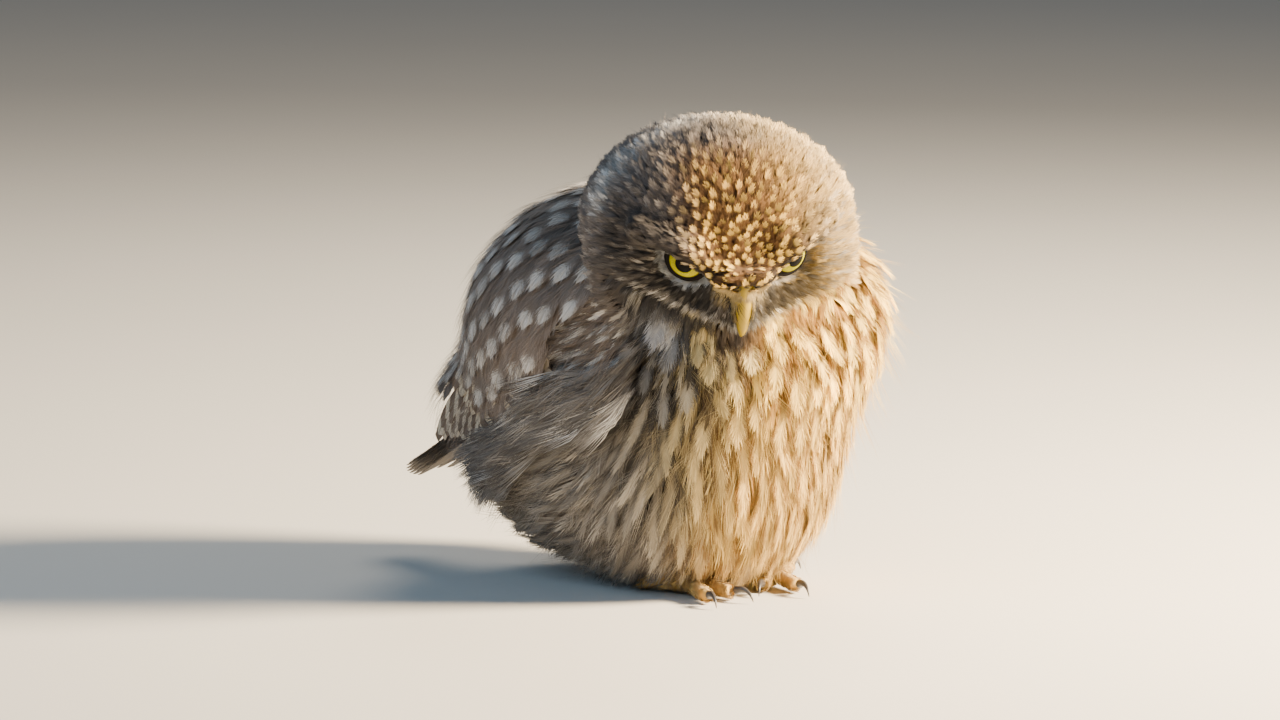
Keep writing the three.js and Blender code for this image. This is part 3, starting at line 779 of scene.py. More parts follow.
def sliver(rings):
    """A closed three-sided sliver: a point, `rings` triangles and a point. Gives each vertex's ring, its
    corner and whether it is a ridge, and the faces."""
    bm = bmesh.new()
    bmesh.ops.create_cone(bm, cap_ends=True, segments=3, radius1=1, radius2=1, depth=1)
    if rings > 2:
        lengthwise = [e for e in bm.edges if abs(e.verts[0].co.z - e.verts[1].co.z) > 0.5]
        bmesh.ops.subdivide_edges(bm, edges=lengthwise, cuts=rings - 2, use_grid_fill=True)
    if rings == 1:
        upper = [v for v in bm.verts if v.co.z > 0]
        bmesh.ops.pointmerge(bm, verts=upper, merge_co=Vector((0, 0, 1)))
        flat = [f for f in bm.faces if all(v.co.z < 0 for v in f.verts)]
        for v in bmesh.ops.poke(bm, faces=flat)["verts"]:
            v.co.z = -1
    else:
        caps = [f for f in bm.faces if abs(f.normal.z) > 0.9]
        for v in bmesh.ops.poke(bm, faces=caps)["verts"]:
            v.co.z *= 3
    bmesh.ops.triangulate(bm, faces=bm.faces)
    bmesh.ops.recalc_face_normals(bm, faces=bm.faces)
    bm.verts.index_update()
    heights = np.array([v.co.z for v in bm.verts])
    levels = np.unique(np.round(heights, 4))
    ring = np.searchsorted(levels, np.round(heights, 4))
    angle = np.array([math.atan2(v.co.x, v.co.y) for v in bm.verts])
    pointed = (ring == 0) | (ring == rings + 1)
    corner = np.where(pointed, 0, np.where(np.abs(angle) < 1, 0, np.sign(angle)))
    top = np.where(~pointed & (corner == 0), 1.0, 0.0)
    faces = np.array([[v.index for v in f.verts] for f in bm.faces])
    bm.free()
    return ring, corner, top, faces


class Shape:
    """A feather shape built up from slivers."""

    def __init__(self):
        self.places = []
        self.faces = []
        self.tones = []
        self.count = 0

    def add(self, spots, halves, thick, tone, parts):
        """`spots` are the sliver's middles in millimetres (across, along, height), one more at each end."""
        ring, corner, top, faces = parts
        spots = np.array(spots, float)
        along = np.gradient(spots, axis=0)
        side = unit(np.stack([along[:, 1], -along[:, 0], np.zeros(len(spots))], -1))
        halves = np.array([0, *halves, 0.0])
        place = spots[ring] + side[ring] * (corner * halves[ring])[:, None]
        place[:, 2] += top * thick
        self.places.append(place)
        self.faces.append(faces + self.count)
        self.tones.append(np.full(len(place), tone))
        self.count += len(place)

    def made(self, long, half):
        """Places as shares of the feather's length and half width, faces and tones."""
        places = np.concatenate(self.places) / [half, long, 1]
        return places, np.concatenate(self.faces), np.concatenate(self.tones)


VANE_THICK = 0.25
BARB = sliver(1)
LONG_BARB = sliver(2)
BLADE = sliver(4)


def leaf(share, blunt):
    """A vane's half width along its length, from 0 to 1."""
    return np.sin(math.pi * np.clip(0.12 + share * 0.84, 0, 1)) ** blunt


def soft_feather(rng, long, half, barbs, fine, loose, vane, blunt=0.55, blade=LONG_BARB):
    """A body feather: a thin vane hidden in fine barbs that sweep out from its shaft on both sides."""
    shape = Shape()
    shares = np.linspace(0.0, 0.92, blade[0].max() + 1)
    spots = [(0, long * s, -VANE_THICK) for s in shares]
    shape.add(spots, [vane * half * leaf(s, blunt) for s in shares[1:-1]], VANE_THICK, -0.5, blade)
    for side in (-1, 1):
        for i in range(barbs):
            share = (i + rng.uniform(0.1, 0.9)) / barbs
            start = mix(0.1, 0.72, share)
            end = min(start + mix(0.46, 0.26, share) * rng.uniform(0.85, 1.15), 1.0)
            reach = half * (leaf(end, blunt) * rng.uniform(0.75, 1.15) + 0.08 * loose * rng.normal())
            if share > 0.75:
                reach *= rng.uniform(0.1, 1)
            lift = loose * rng.uniform(-0.3, 0.8)
            start_at = np.array([side * 0.05 * half, start * long, 0.02])
            end_at = np.array([side * reach, end * long, lift])
            middle = mix(start_at, end_at, 0.45) + [side * reach * rng.uniform(0.08, 0.2), 0, 0.1]
            wide = fine * rng.uniform(0.8, 1.2)
            shape.add([start_at, middle, end_at], [wide], fine * 0.5, rng.uniform(-1, 1), BARB)
    return shape.made(long, half)


def hair_tuft(rng, long, half, hairs, fine, loose):
    """A tuft of fine, hair-like barbs that spread from one root."""
    shape = Shape()
    for i in range(hairs):
        spread = ((i + 0.5) / hairs * 2 - 1) * rng.uniform(0.6, 1.15)
        reach = long * rng.uniform(0.72, 1.05)
        start = np.array([spread * half * 0.25, long * rng.uniform(0, 0.15), 0])
        end = np.array([spread * half, reach, loose * rng.uniform(-0.6, 1)])
        middle = mix(start, end, 0.5) + [spread * half * 0.12, 0, loose * rng.uniform(0, 0.5)]
        shape.add([start, middle, end], [fine], fine * 0.6, rng.uniform(-1, 1), BARB)
    return shape.made(long, half)


def crisp_vane(segments, blunt, thick, rng, fringe, long, half, fine=0.16):
    """A firm vane: a closed sheet with a raised shaft, its edges fringed with barbs."""
    bm = bmesh.new()
    bmesh.ops.create_grid(bm, x_segments=4, y_segments=segments, size=1)
    flat = list(bm.faces)
    bmesh.ops.solidify(bm, geom=flat, thickness=1)
    bmesh.ops.triangulate(bm, faces=bm.faces)
    bmesh.ops.recalc_face_normals(bm, faces=bm.faces)
    bm.verts.index_update()
    co = np.array([v.co for v in bm.verts])
    faces = np.array([[v.index for v in f.verts] for f in bm.faces])
    bm.free()
    across, along = co[:, 0], (co[:, 1] + 1) / 2
    upper = (co[:, 2] - co[:, 2].min()) / np.ptp(co[:, 2])
    width = leaf(along, blunt)
    edge = np.abs(across)
    shaft = 0.35 * np.exp(-((across / 0.3) ** 2)) * upper * (1 - along)
    rise = thick * (upper - 0.5) * (1 - 0.6 * edge) + shaft
    places = np.stack([across * width, along, rise], -1)
    shape = Shape()
    for side in (-1, 1):
        for i in range(fringe):
            share = mix(0.25, 0.97, (i + rng.uniform(0.2, 0.8)) / fringe)
            start = np.array([side * half * leaf(share, blunt) * 0.8, share * long - 1.5, 0.1])
            way = np.array([side * mix(1.1, 0.3, share), 1.7, rng.uniform(-0.1, 0.25)])
            way *= rng.uniform(0.8, 1.5)
            shape.add([start, start + way * 0.5, start + way], [fine], fine * 0.5, rng.uniform(-1, 1), BARB)
    more, more_faces, more_tones = shape.made(long, half)
    return (
        np.concatenate([places, more]),
        np.concatenate([faces, more_faces + len(places)]),
        np.concatenate([np.zeros(len(places)), more_tones]),
    )


# Laying feathers


def trace(field, roots, long, start, end, steps, rng, yaw, flow_of=lie, ease=0.75):
    """Each feather's way: `steps` + 1 stations from its root along the lie of the coat, rising to its tip."""
    turn = yaw * rng.normal(0, 1, len(roots))
    p = roots
    way = None
    mids, normals = [], []
    for k in range(steps + 1):
        level = start + (end - start) * (k / steps) ** ease
        p = settle(field, p, level, 2 if k == 0 else 1)
        normal = unit(slope(field, p))
        flow = flow_of(p, normal)
        flow = flow * np.cos(turn)[:, None] + np.cross(normal, flow) * np.sin(turn)[:, None]
        way = flow if way is None else unit(0.55 * flow + 0.45 * way)
        way = along_surface(way, normal)
        mids.append(p)
        normals.append(normal)
        p = p + way * (long / steps)[:, None]
    return np.stack(mids, 1), np.stack(normals, 1)


def tree_of(places, chosen):
    """A search tree of the chosen places, which answers with their numbers."""
    tree = kdtree.KDTree(len(chosen))
    for i in chosen:
        tree.insert(places[i], int(i))
    tree.balance()
    return tree


LOCK_STAND = 0.24
LOCK_RIDGE = 0.2


def gathered(mids, normals, roots, gap, strength, rng):
    """Feathers drawn together into locks, round leaders that stand `gap` apart: each lock is a ridge, and its
    tip stands out a little. Gives the new ways, each feather's leader, and how near it lies to it."""
    leaders = apart(roots, np.full(len(roots), gap) * rng.uniform(0.8, 1.25, len(roots)))
    tree = tree_of(roots, leaders)
    follows = np.array([tree.find(p)[1] for p in roots])
    led = mids[follows]
    along = unit(np.gradient(led, axis=1))
    off = led - mids
    off = off - along * (off * along).sum(-1, keepdims=True)
    share = np.linspace(0, 1, mids.shape[1])[None, :, None]
    close = smooth(0.72, 0.15, np.linalg.norm(roots - roots[follows], axis=1) / gap)
    rise = rng.uniform(-0.2, 1, len(mids))[follows] * LOCK_STAND - (1 - close) * LOCK_RIDGE
    drawn = off * (strength * rng.uniform(0.7, 1.1, len(mids)))[:, None, None] * share**1.3
    return mids + drawn + normals * (rise * gap)[:, None, None] * share**1.5, follows, close


def frames_of(mids, normals, roll):
    """Across and up directions at each station, the feather rolled a little about its own line."""
    along = unit(np.gradient(mids, axis=1))
    across = unit(np.cross(along, normals))
    up = np.cross(across, along)
    turn = roll[:, None, None]
    return across * np.cos(turn) + up * np.sin(turn), up * np.cos(turn) - across * np.sin(turn)


def lay(shape, mids, across, up, half, height):
    """Copies of a feather shape bent along their ways: places (feathers, vertices, 3)."""
    places = shape[0]
    last = mids.shape[1] - 1
    at = np.clip(places[:, 1], 0, 1) * last
    low = np.minimum(at.astype(int), last - 1)
    share = (places[:, 1] * last - low)[None, :, None]
    middle = mix(mids[:, low], mids[:, low + 1], share)
    side = mix(across[:, low], across[:, low + 1], share)
    rise = mix(up[:, low], up[:, low + 1], share)
    wide = places[:, 0][None, :, None] * half[:, None, None]
    tall = places[:, 2][None, :, None] * height[:, None, None]
    return middle + side * wide + rise * tall


BAKE_PATCH = 0.003
EDGE = 0.15
FEATHER_SHARP = 70
VANE_SHARP = 40


class Coat:
    """Gathers feathers into one piece."""

    def __init__(self, name):
        self.name = name
        self.places = []
        self.faces = []
        self.ground = []
        self.mark = []
        self.feather = []
        self.bake = []
        self.count = 0

    def cover(self, kinds, mids, across, up, half, tall, look):
        """Lays feathers of several kinds in turn. `look` gives their ground, mark, amount,
        tone, seed and place in the unwrap."""
        for k, shape in enumerate(kinds):
            mine = slice(k, None, len(kinds))
            laid = lay(shape, mids[mine], across[mine], up[mine], half[mine], tall[mine])
            self.add(shape, laid, *[values[mine] for values in look])

    def add(self, shape, laid, ground, mark, amount, tone, seed, unwrapped):
        number, points = laid.shape[:2]
        self.places.append(laid.reshape(-1, 3))
        offsets = self.count + np.arange(number) * points
        self.faces.append((shape[1][None] + offsets[:, None, None]).reshape(-1, 3))
        self.count += number * points

        def spread(values):
            return np.repeat(values, points, axis=0)

        tones = 0.5 + 0.5 * np.clip(0.55 * tone[:, None] + 0.45 * shape[2][None], -1, 1)
        self.ground.append(np.column_stack([spread(ground), tones.reshape(-1)]))
        self.mark.append(np.column_stack([spread(mark), spread(amount)]))
        own = np.tile(shape[0][:, :2], (number, 1))
        self.feather.append(np.column_stack([own, spread(seed)]))
        patch = np.stack([own[:, 0] * 0.5, own[:, 1] - 0.5], -1) * BAKE_PATCH
        self.bake.append(spread(unwrapped) + patch)

    def piece(self, material, sharp=FEATHER_SHARP):
        places = np.concatenate(self.places)
        low, high = (np.array(c) / MM - FRAME_SHIFT for c in CAD_BOX)
        places = np.clip(places, low + EDGE, high - EDGE)
        obj = mesh_of(self.name, places, np.concatenate(self.faces))
        mesh = obj.data
        mesh.set_sharp_from_angle(angle=math.radians(sharp))
        give(mesh, "ground", np.concatenate(self.ground))
        give(mesh, "mark", np.concatenate(self.mark))
        give(mesh, "feather", np.concatenate(self.feather))
        corner = np.zeros(len(mesh.loops), np.int32)
        mesh.loops.foreach_get("vertex_index", corner)
        layer = mesh.uv_layers.new(name="OFBake")
        layer.data.foreach_set("uv", np.concatenate(self.bake)[corner].astype(np.float32).ravel())
        mesh.materials.append(material)
        print(self.name, len(mesh.polygons), "triangles")
        return obj


def unwrap(p):
    """The skin's own unwrap: each place by its direction from the body's middle, at an even scale."""
    way = unit(p - BODY_MIDDLE)
    turn = np.arctan2(way[:, 0], -way[:, 1]) / (2 * math.pi) + 0.5
    return np.stack([turn, way[:, 2] / 2 + 0.5], -1) * 0.98 + 0.01


def scattered(spacing, rng, crowd=7):
    """Places on the skin, at least spacing(place) apart, in a seeded random order."""
    mesh = bpy.data.objects["skin"].data
    mesh.calc_loop_triangles()
    corners = np.zeros(len(mesh.loop_triangles) * 3, np.int32)
    mesh.loop_triangles.foreach_get("vertices", corners)
    tri = (points_of(mesh) / MM - FRAME_SHIFT)[corners.reshape(-1, 3)]
    area = np.linalg.norm(np.cross(tri[:, 1] - tri[:, 0], tri[:, 2] - tri[:, 0]), axis=1) / 2
    wanted = area / spacing(tri.mean(1)) ** 2 * crowd
    number = int(wanted.sum())
    pick = rng.choice(len(tri), number, p=wanted / wanted.sum())
    a = np.sqrt(rng.random(number))
    b = rng.random(number)
    weights = np.stack([1 - a, a * (1 - b), a * b], -1)
    places = (tri[pick] * weights[..., None]).sum(1)
    return places[apart(places, spacing(places))]


def apart(places, gaps):
    """Picks places, first come first kept, that stand at least their gap from those picked before."""
    tree = tree_of(places, range(len(places)))
    free = np.ones(len(places), bool)
    kept = []
    for i, gap in enumerate(gaps):
        if not free[i]:
            continue
        kept.append(i)
        for _, j, _ in tree.find_range(places[i], gap):
            free[j] = False
    return np.array(kept)


def nearness(places, ways, centres, wide, long):
    """How near each place is to the nearest centre: 1 at it, 0 outside an oval laid along its way."""
    tree = tree_of(centres, range(len(centres)))
    off = places - np.array([centres[tree.find(p)[1]] for p in places])
    along = (off * ways).sum(-1)
    across = np.linalg.norm(off - ways * along[:, None], axis=-1)
    return smooth(1.25, 0.7, np.hypot(across / wide, along / long))


# Materials


RELIEF = 0.0002
WHITE = (1, 1, 1, 1)
# The colour a feather darkens to towards its root: partly the darker down at its base, partly painted shade
# between the feathers.
DOWN_AND_SHADE = (0.16, 0.13, 0.11, 1)
PUPIL_BLACK = (0.002, 0.002, 0.002, 1)
RIM_BLACK = (0.01, 0.009, 0.006, 1)


def paint(base, strength=1.0):
    """A colour, lighter or darker, as a socket takes it."""
    return (*(base * strength), 1)


class Sheet:
    """A node tree being written, with short calls for its nodes."""

    def __init__(self, tree):
        self.tree = tree

    def node(self, kind, **settings):
        made = self.tree.nodes.new(kind)
        for key, value in settings.items():
            setattr(made, key, value)
        return made

    def put(self, socket, value):
        if isinstance(value, bpy.types.NodeSocket):
            self.tree.links.new(value, socket)
        else:
            socket.default_value = value

    def maths(self, operation, *values):
        made = self.node("ShaderNodeMath", operation=operation)
        for socket, value in zip(made.inputs, values):
            self.put(socket, value)
        return made.outputs[0]

    def step(self, value, low, high):
        """0 below low, 1 above high, smooth between."""
        made = self.node("ShaderNodeMapRange", interpolation_type="SMOOTHSTEP")
        for name, given in (("Value", value), ("From Min", low), ("From Max", high)):
            self.put(made.inputs[name], given)
        return made.outputs[0]

    def mixed(self, factor, a, b, blend_type="MIX"):
        made = self.node("ShaderNodeMix", data_type="RGBA", blend_type=blend_type)
        self.put(made.inputs["Factor"], factor)
        colours = [s for s in made.inputs if s.type == "RGBA"]
        self.put(colours[0], a)
        self.put(colours[1], b)
        return [s for s in made.outputs if s.type == "RGBA"][0]

    def noise(self, vector, scale, detail):
        made = self.node("ShaderNodeTexNoise")
        self.put(made.inputs["Vector"], vector)
        self.put(made.inputs["Scale"], scale)
        self.put(made.inputs["Detail"], detail)
        return made.outputs["Fac"]

    def attribute(self, name):
        return self.node("ShaderNodeAttribute", attribute_name=name)

    def parts(self, vector):
        made = self.node("ShaderNodeSeparateXYZ")
        self.put(made.inputs[0], vector)
        return made.outputs

    def place(self):
        return self.node("ShaderNodeTexCoord").outputs["Object"]

    def fill(self, node, values):
        for label, value in values.items():
            self.put(node.inputs[label], value)

    def relief(self, shader, height, strength):
        """Fine relief on a surface, from its height."""
        made = self.node("ShaderNodeBump")
        self.fill(made, {"Strength": strength, "Distance": RELIEF, "Height": height})
        self.put(shader.inputs["Normal"], made.outputs[0])


def group(name, inputs, outputs):
    """An empty node group with named float inputs and named outputs; returns it with its two end nodes."""
    tree = bpy.data.node_groups.new(name, "ShaderNodeTree")
    for label, value in inputs.items():
        socket = tree.interface.new_socket(name=label, in_out="INPUT", socket_type="NodeSocketFloat")
        socket.default_value = value
    for label, kind in outputs.items():
        tree.interface.new_socket(name=label, in_out="OUTPUT", socket_type=kind)
    return tree, tree.nodes.new("NodeGroupInput"), tree.nodes.new("NodeGroupOutput")


def feather_marks():
    """The shared pattern of one feather: a spot near its tip, a streak down its shaft and bars across it."""
    name = "Feather marks"
    if name in bpy.data.node_groups:
        return bpy.data.node_groups[name]
    tree, given, out = group(
        name,
        {
            "Spot Width": 0.5,
            "Spot Length": 0.2,
            "Spot Place": 0.75,
            "Streak Width": 0.0,
            "Bars": 0.0,
            "Bar Shift": 0.0,
            "Softness": 0.25,
            "Unevenness": 0.12,
            "Tone Contrast": 0.5,
            "Dark Root": 0.5,
            "Ragged": 0.5,
            "Shaft": 0.0,
        },
        {"Colour": "NodeSocketColor", "Height": "NodeSocketFloat", "Mark": "NodeSocketFloat"},
    )
    s = Sheet(tree)
    value = given.outputs
    ground = s.attribute("ground")
    mark = s.attribute("mark")
    own = s.parts(s.attribute("feather").outputs["Vector"])
    wobble = s.maths("SUBTRACT", s.noise(s.place(), 420, 2), 0.5)
    wobble = s.maths("MULTIPLY", wobble, value["Unevenness"])
    across = s.maths("ADD", own[0], s.maths("MULTIPLY", wobble, 3.0))
    along = s.maths("ADD", own[1], wobble)
    wide = s.maths("DIVIDE", across, value["Spot Width"])
    far = s.maths("DIVIDE", s.maths("SUBTRACT", along, value["Spot Place"]), value["Spot Length"])
    away = s.maths("SQRT", s.maths("ADD", s.maths("MULTIPLY", wide, wide), s.maths("MULTIPLY", far, far)))
    slant = s.maths("MULTIPLY", s.maths("ABSOLUTE", own[0]), 14.0)
    barb = s.maths("SUBTRACT", s.maths("MULTIPLY", own[1], 60.0), slant)
    barb = s.maths("MULTIPLY_ADD", own[2], 173.0, barb)
    comb = s.node("ShaderNodeTexNoise", noise_dimensions="1D")
    s.put(comb.inputs["W"], barb)
    comb.inputs["Scale"].default_value = 1.0
    ragged = s.maths("MULTIPLY", s.maths("SUBTRACT", comb.outputs["Fac"], 0.5), value["Ragged"])
    away = s.maths("ADD", away, s.maths("MULTIPLY", ragged, 2.2))
    spot = s.step(away, s.maths("ADD", 1.0, value["Softness"]), s.maths("SUBTRACT", 1.0, value["Softness"]))
    streak_half = s.maths("MULTIPLY", value["Streak Width"], s.step(along, 0.1, 0.7))
    streak_far = s.maths("SUBTRACT", s.maths("ABSOLUTE", across), streak_half)
    streak = s.step(streak_far, 0.22, -0.08)
    streak = s.maths("MULTIPLY", streak, s.step(value["Streak Width"], 0.0, 0.02))
    turns = s.maths("MULTIPLY_ADD", along, value["Bars"], s.maths("MULTIPLY", own[2], value["Bar Shift"]))
    turns = s.maths("MULTIPLY_ADD", s.maths("ABSOLUTE", across), 0.45, turns)
    wave = s.maths("SINE", s.maths("MULTIPLY", turns, 2 * math.pi))
    bars = s.step(wave, 0.0, 0.4)
    bars = s.maths("MULTIPLY", bars, s.step(value["Bars"], 0.0, 0.5))
    marked = s.maths("MAXIMUM", spot, s.maths("MAXIMUM", streak, bars))
    marked = s.maths("MULTIPLY", marked, mark.outputs["Alpha"])
    coloured = s.mixed(marked, ground.outputs["Color"], mark.outputs["Color"])
    tone = s.maths("SUBTRACT", ground.outputs["Alpha"], 0.5)
    tone = s.maths("MULTIPLY_ADD", tone, value["Tone Contrast"], 1.0)
    tone = s.maths("MULTIPLY", tone, s.maths("MULTIPLY_ADD", ragged, 0.7, 1.0))
    shaft = s.maths("MULTIPLY", s.step(s.maths("ABSOLUTE", own[0]), 0.1, 0.03), value["Shaft"])
    tone = s.maths("MULTIPLY", tone, s.maths("SUBTRACT", 1.0, s.maths("MULTIPLY", shaft, 0.55)))
    # Towards its root each feather darkens: partly the darker down of its base, partly painted shade where the
    # roots show between the feathers over them.
    deep = s.mixed(value["Dark Root"], WHITE, DOWN_AND_SHADE)
    rooted = s.mixed(s.step(own[1], 0.0, 0.55), deep, WHITE)
    coloured = s.mixed(1.0, coloured, rooted, "MULTIPLY")
    toned = s.node("ShaderNodeVectorMath", operation="SCALE")
    s.put(toned.inputs[0], coloured)
    s.put(toned.inputs["Scale"], tone)
    s.put(out.inputs["Colour"], toned.outputs[0])
    s.put(out.inputs["Height"], comb.outputs["Fac"])
    s.put(out.inputs["Mark"], marked)
    return tree


def principled(name):
    material = bpy.data.materials.new(name)
    material.use_nodes = True
    material.node_tree.nodes.clear()
    s = Sheet(material.node_tree)
    shader = s.node("ShaderNodeBsdfPrincipled")
    out = s.node("ShaderNodeOutputMaterial")
    s.put(out.inputs["Surface"], shader.outputs[0])
    return material, s, shader


def plumage_material(name, roughness=0.78, bump=0.15, **values):
    material, s, shader = principled(name)
    marks = s.node("ShaderNodeGroup", node_tree=feather_marks())
    for label, value in values.items():
        marks.inputs[label.replace("_", " ").title()].default_value = value
    rough = s.maths("MULTIPLY_ADD", marks.outputs["Mark"], 0.08, roughness)
    s.fill(shader, {"Base Color": marks.outputs["Colour"], "Roughness": rough})
    s.fill(shader, {"Sheen Weight": 0.12, "Sheen Roughness": 0.5, "Specular IOR Level": 0.25})
    if bump:
        s.relief(shader, marks.outputs["Height"], bump)
    return material


def horn_marks():
    """The shared look of horn: fine lines along it, and a mask that fades from root to tip."""
    name = "Horn marks"
    if name in bpy.data.node_groups:
        return bpy.data.node_groups[name]
    tree, given, out = group(
        name,
        {"Line Scale": 900.0, "Line Strength": 0.5, "Fade Start": 0.0, "Fade End": 1.0},
        {"Lines": "NodeSocketFloat", "Along": "NodeSocketFloat", "Front": "NodeSocketFloat"},
    )
    s = Sheet(tree)
    own = s.parts(s.attribute("grown").outputs["Vector"])
    stretched = s.node("ShaderNodeMapping")
    s.fill(stretched, {"Vector": s.place(), "Scale": (1, 1, 0.12)})
    lines = s.noise(stretched.outputs[0], given.outputs["Line Scale"], 3)
    lines = s.maths("MULTIPLY", s.maths("SUBTRACT", lines, 0.5), given.outputs["Line Strength"])
    s.put(out.inputs["Lines"], s.maths("ADD", lines, 0.5))
    s.put(out.inputs["Along"], s.step(own[1], given.outputs["Fade Start"], given.outputs["Fade End"]))
    s.put(out.inputs["Front"], own[0])
    return tree


def horn_material(name, near, far, edge, roughness, fade=(0.0, 1.0)):
    """Smooth horn, `near` at its root, `far` at its tip and `edge` on its sides."""
    material, s, shader = principled(name)
    marks = s.node("ShaderNodeGroup", node_tree=horn_marks())
    s.fill(marks, {"Fade Start": fade[0], "Fade End": fade[1]})
    lines = marks.outputs["Lines"]
    along = s.mixed(marks.outputs["Along"], paint(tint(near)), paint(tint(far)))
    # The sides take `edge`: on the bill it is darker than the ridge, as painted shade on its sides.
    sided = s.mixed(s.step(marks.outputs["Front"], 0.75, 0.1), along, paint(tint(edge)))
    lined = s.mixed(s.step(lines, 0.35, 0.65), sided, paint(tint(far), 0.75))
    rough = s.maths("MULTIPLY_ADD", lines, 0.25, roughness - 0.12)
    s.fill(shader, {"Base Color": s.mixed(0.35, sided, lined), "Roughness": rough})
    s.fill(shader, {"Specular IOR Level": 0.35, "Coat Weight": 0.25, "Coat Roughness": 0.2})
    s.relief(shader, lines, 0.12)
    return material


def eye_material():
    """Yellow iris with fine rays, black pupil and dark rim, under a clear wet coat."""
    material, s, shader = principled("Eye")
    own = s.attribute("iris")
    x, y, _ = s.parts(own.outputs["Vector"])
    radius = s.maths("SQRT", s.maths("ADD", s.maths("MULTIPLY", x, x), s.maths("MULTIPLY", y, y)))
    way = s.node("ShaderNodeVectorMath", operation="NORMALIZE")
    s.put(way.inputs[0], own.outputs["Vector"])
    rays = s.noise(way.outputs[0], 26.0, 3)
    cloud = s.noise(own.outputs["Vector"], 0.9, 2)
    iris = millimetres("iris")
    pupil = millimetres("pupil")
    bright = tint("iris")
    shown = s.mixed(s.step(rays, 0.3, 0.7), paint(bright, 0.5), paint((bright * 1.15).clip(0, 1)))
    clouded = s.maths("MULTIPLY", s.step(cloud, 0.35, 0.7), 0.3)
    shown = s.mixed(clouded, shown, paint(bright * [0.5, 0.62, 0.5]))
    ring = s.maths("MULTIPLY", s.step(radius, pupil + 1.1, pupil + 0.1), 0.45)
    shown = s.mixed(ring, shown, paint(bright * [0.45, 0.5, 0.3]))
    shown = s.mixed(s.step(radius, iris - 0.75, iris - 0.1), shown, RIM_BLACK)
    shown = s.mixed(s.step(radius, pupil + 0.12, pupil - 0.08), shown, PUPIL_BLACK)
    s.fill(shader, {"Base Color": shown, "Roughness": s.maths("MULTIPLY_ADD", rays, 0.15, 0.5)})
    s.fill(shader, {"Specular IOR Level": 0.02, "Coat Weight": 0.1, "Coat Roughness": 0.02})
    return material


def skin_rim_material():
    """The lids' bare black skin, finely pimpled."""
    material, s, shader = principled("Lids")
    pimples = s.noise(s.place(), 1800.0, 2)
    base = tint("lid")
    s.put(shader.inputs["Base Color"], s.mixed(pimples, paint(base, 0.6), paint(base, 1.5)))
    rough = s.maths("MULTIPLY_ADD", pimples, 0.3, 0.55)
    s.fill(shader, {"Roughness": rough, "Specular IOR Level": 0.08})
    s.relief(shader, pimples, 0.4)
    return material


# Pieces


STAR_DETAIL = 5
STAR_ROUNDS = 60
VOXEL = 1.1
FLOOR_GAP = 0.3
SKIN_NEAR = 0.4
SKIN_TONE = 0.35


def star(middle):
    """A rounded form seen from its middle, out to the skin's surface, as a bmesh."""
    bm = bmesh.new()
    bmesh.ops.create_icosphere(bm, subdivisions=STAR_DETAIL, radius=1)
    way = unit(np.array([v.co for v in bm.verts]))
    reach = np.full(len(way), 2.0)
    for _ in range(STAR_ROUNDS):
        reach = reach - 0.75 * np.clip(skin_field(middle + way * reach[:, None]), -12, 3)
    placed(bm.verts, middle + way * reach[:, None])
    return bm


def make_skin():
    """One skin from the head to the toes, inside the outline by the coat's depth."""
    middles = [BODY_MIDDLE, from_head(HEAD_MIDDLE), np.array(NECK[0], float)]
    bm = bmesh.new()
    for middle in middles:
        poured(star(middle), bm)
    for side in SIDES.values():
        spots = np.array([BROW_IN, BROW_MID, BROW_OUT]) * [side, 1, 1]
        radius = BROW_R - millimetres("brow_coat")

        def round_brow(share, angle):
            thick = radius * np.sqrt(np.sin(math.pi * np.clip(share, 0.06, 0.94)))
            return thick, thick

        made, _, _ = limb(bm, spots, round_brow, np.array([0, -1, 0.0]), 12, 16)
        moved(made, from_head)
    for side, at in FEET.items():
        leg = bmesh.ops.create_icosphere(bm, subdivisions=3, radius=1)["verts"]
        for v in leg:
            v.co = Vector(at + LEG_UP + np.array(v.co) * (np.array(LEG_SIZE) - 0.8))
        for turn, long in TOES.values():
            way = toe_way(side, turn)
            heel = at + [0, 0, TOE_LOW]
            reach = way * (long + TOE_OUT - TOE_SKIN) + [0, 0, -TOE_DROP]
            toe = bmesh.ops.create_icosphere(bm, subdivisions=3, radius=1)["verts"]
            for v in toe:
                share = v.co.x * 0.5 + 0.5
                flat = np.array([-way[1], way[0], 0])
                aside = flat * v.co.y * TOE_SKIN
                v.co = Vector(heel + reach * share + aside + np.array([0, 0, v.co.z * TOE_SKIN]))
    obj = object_from(bm, "skin")
    remesh = obj.modifiers.new("Remesh", "REMESH")
    remesh.mode = "VOXEL"
    remesh.voxel_size = VOXEL * MM
    apply_modifiers(obj)
    mesh = obj.data
    places = points_of(mesh) / MM - FRAME_SHIFT
    places = settle(skin_field, places, 0, 3)
    places[:, 2] = np.maximum(places[:, 2], FLOOR_GAP)
    mesh.vertices.foreach_set("co", to_frame(places).astype(np.float32).ravel())
    mesh.update()
    mesh.polygons.foreach_set("use_smooth", np.ones(len(mesh.polygons), bool))
    number = len(places)
    ground, mark, _ = markings_and_painted_light(places, np.ones(number), np.full(number, SKIN_NEAR))
    give(mesh, "ground", np.column_stack([ground, np.full(number, SKIN_TONE)]))
    give(mesh, "mark", np.column_stack([mark, np.zeros(number)]))
    give(mesh, "feather", np.tile([0.0, 0.6, 0.0], (number, 1)))
    mesh.materials.append(plumage_material("Skin", bump=0.0, dark_root=0.0, unevenness=0.3))
    print("skin", len(mesh.polygons), "faces")
    return obj


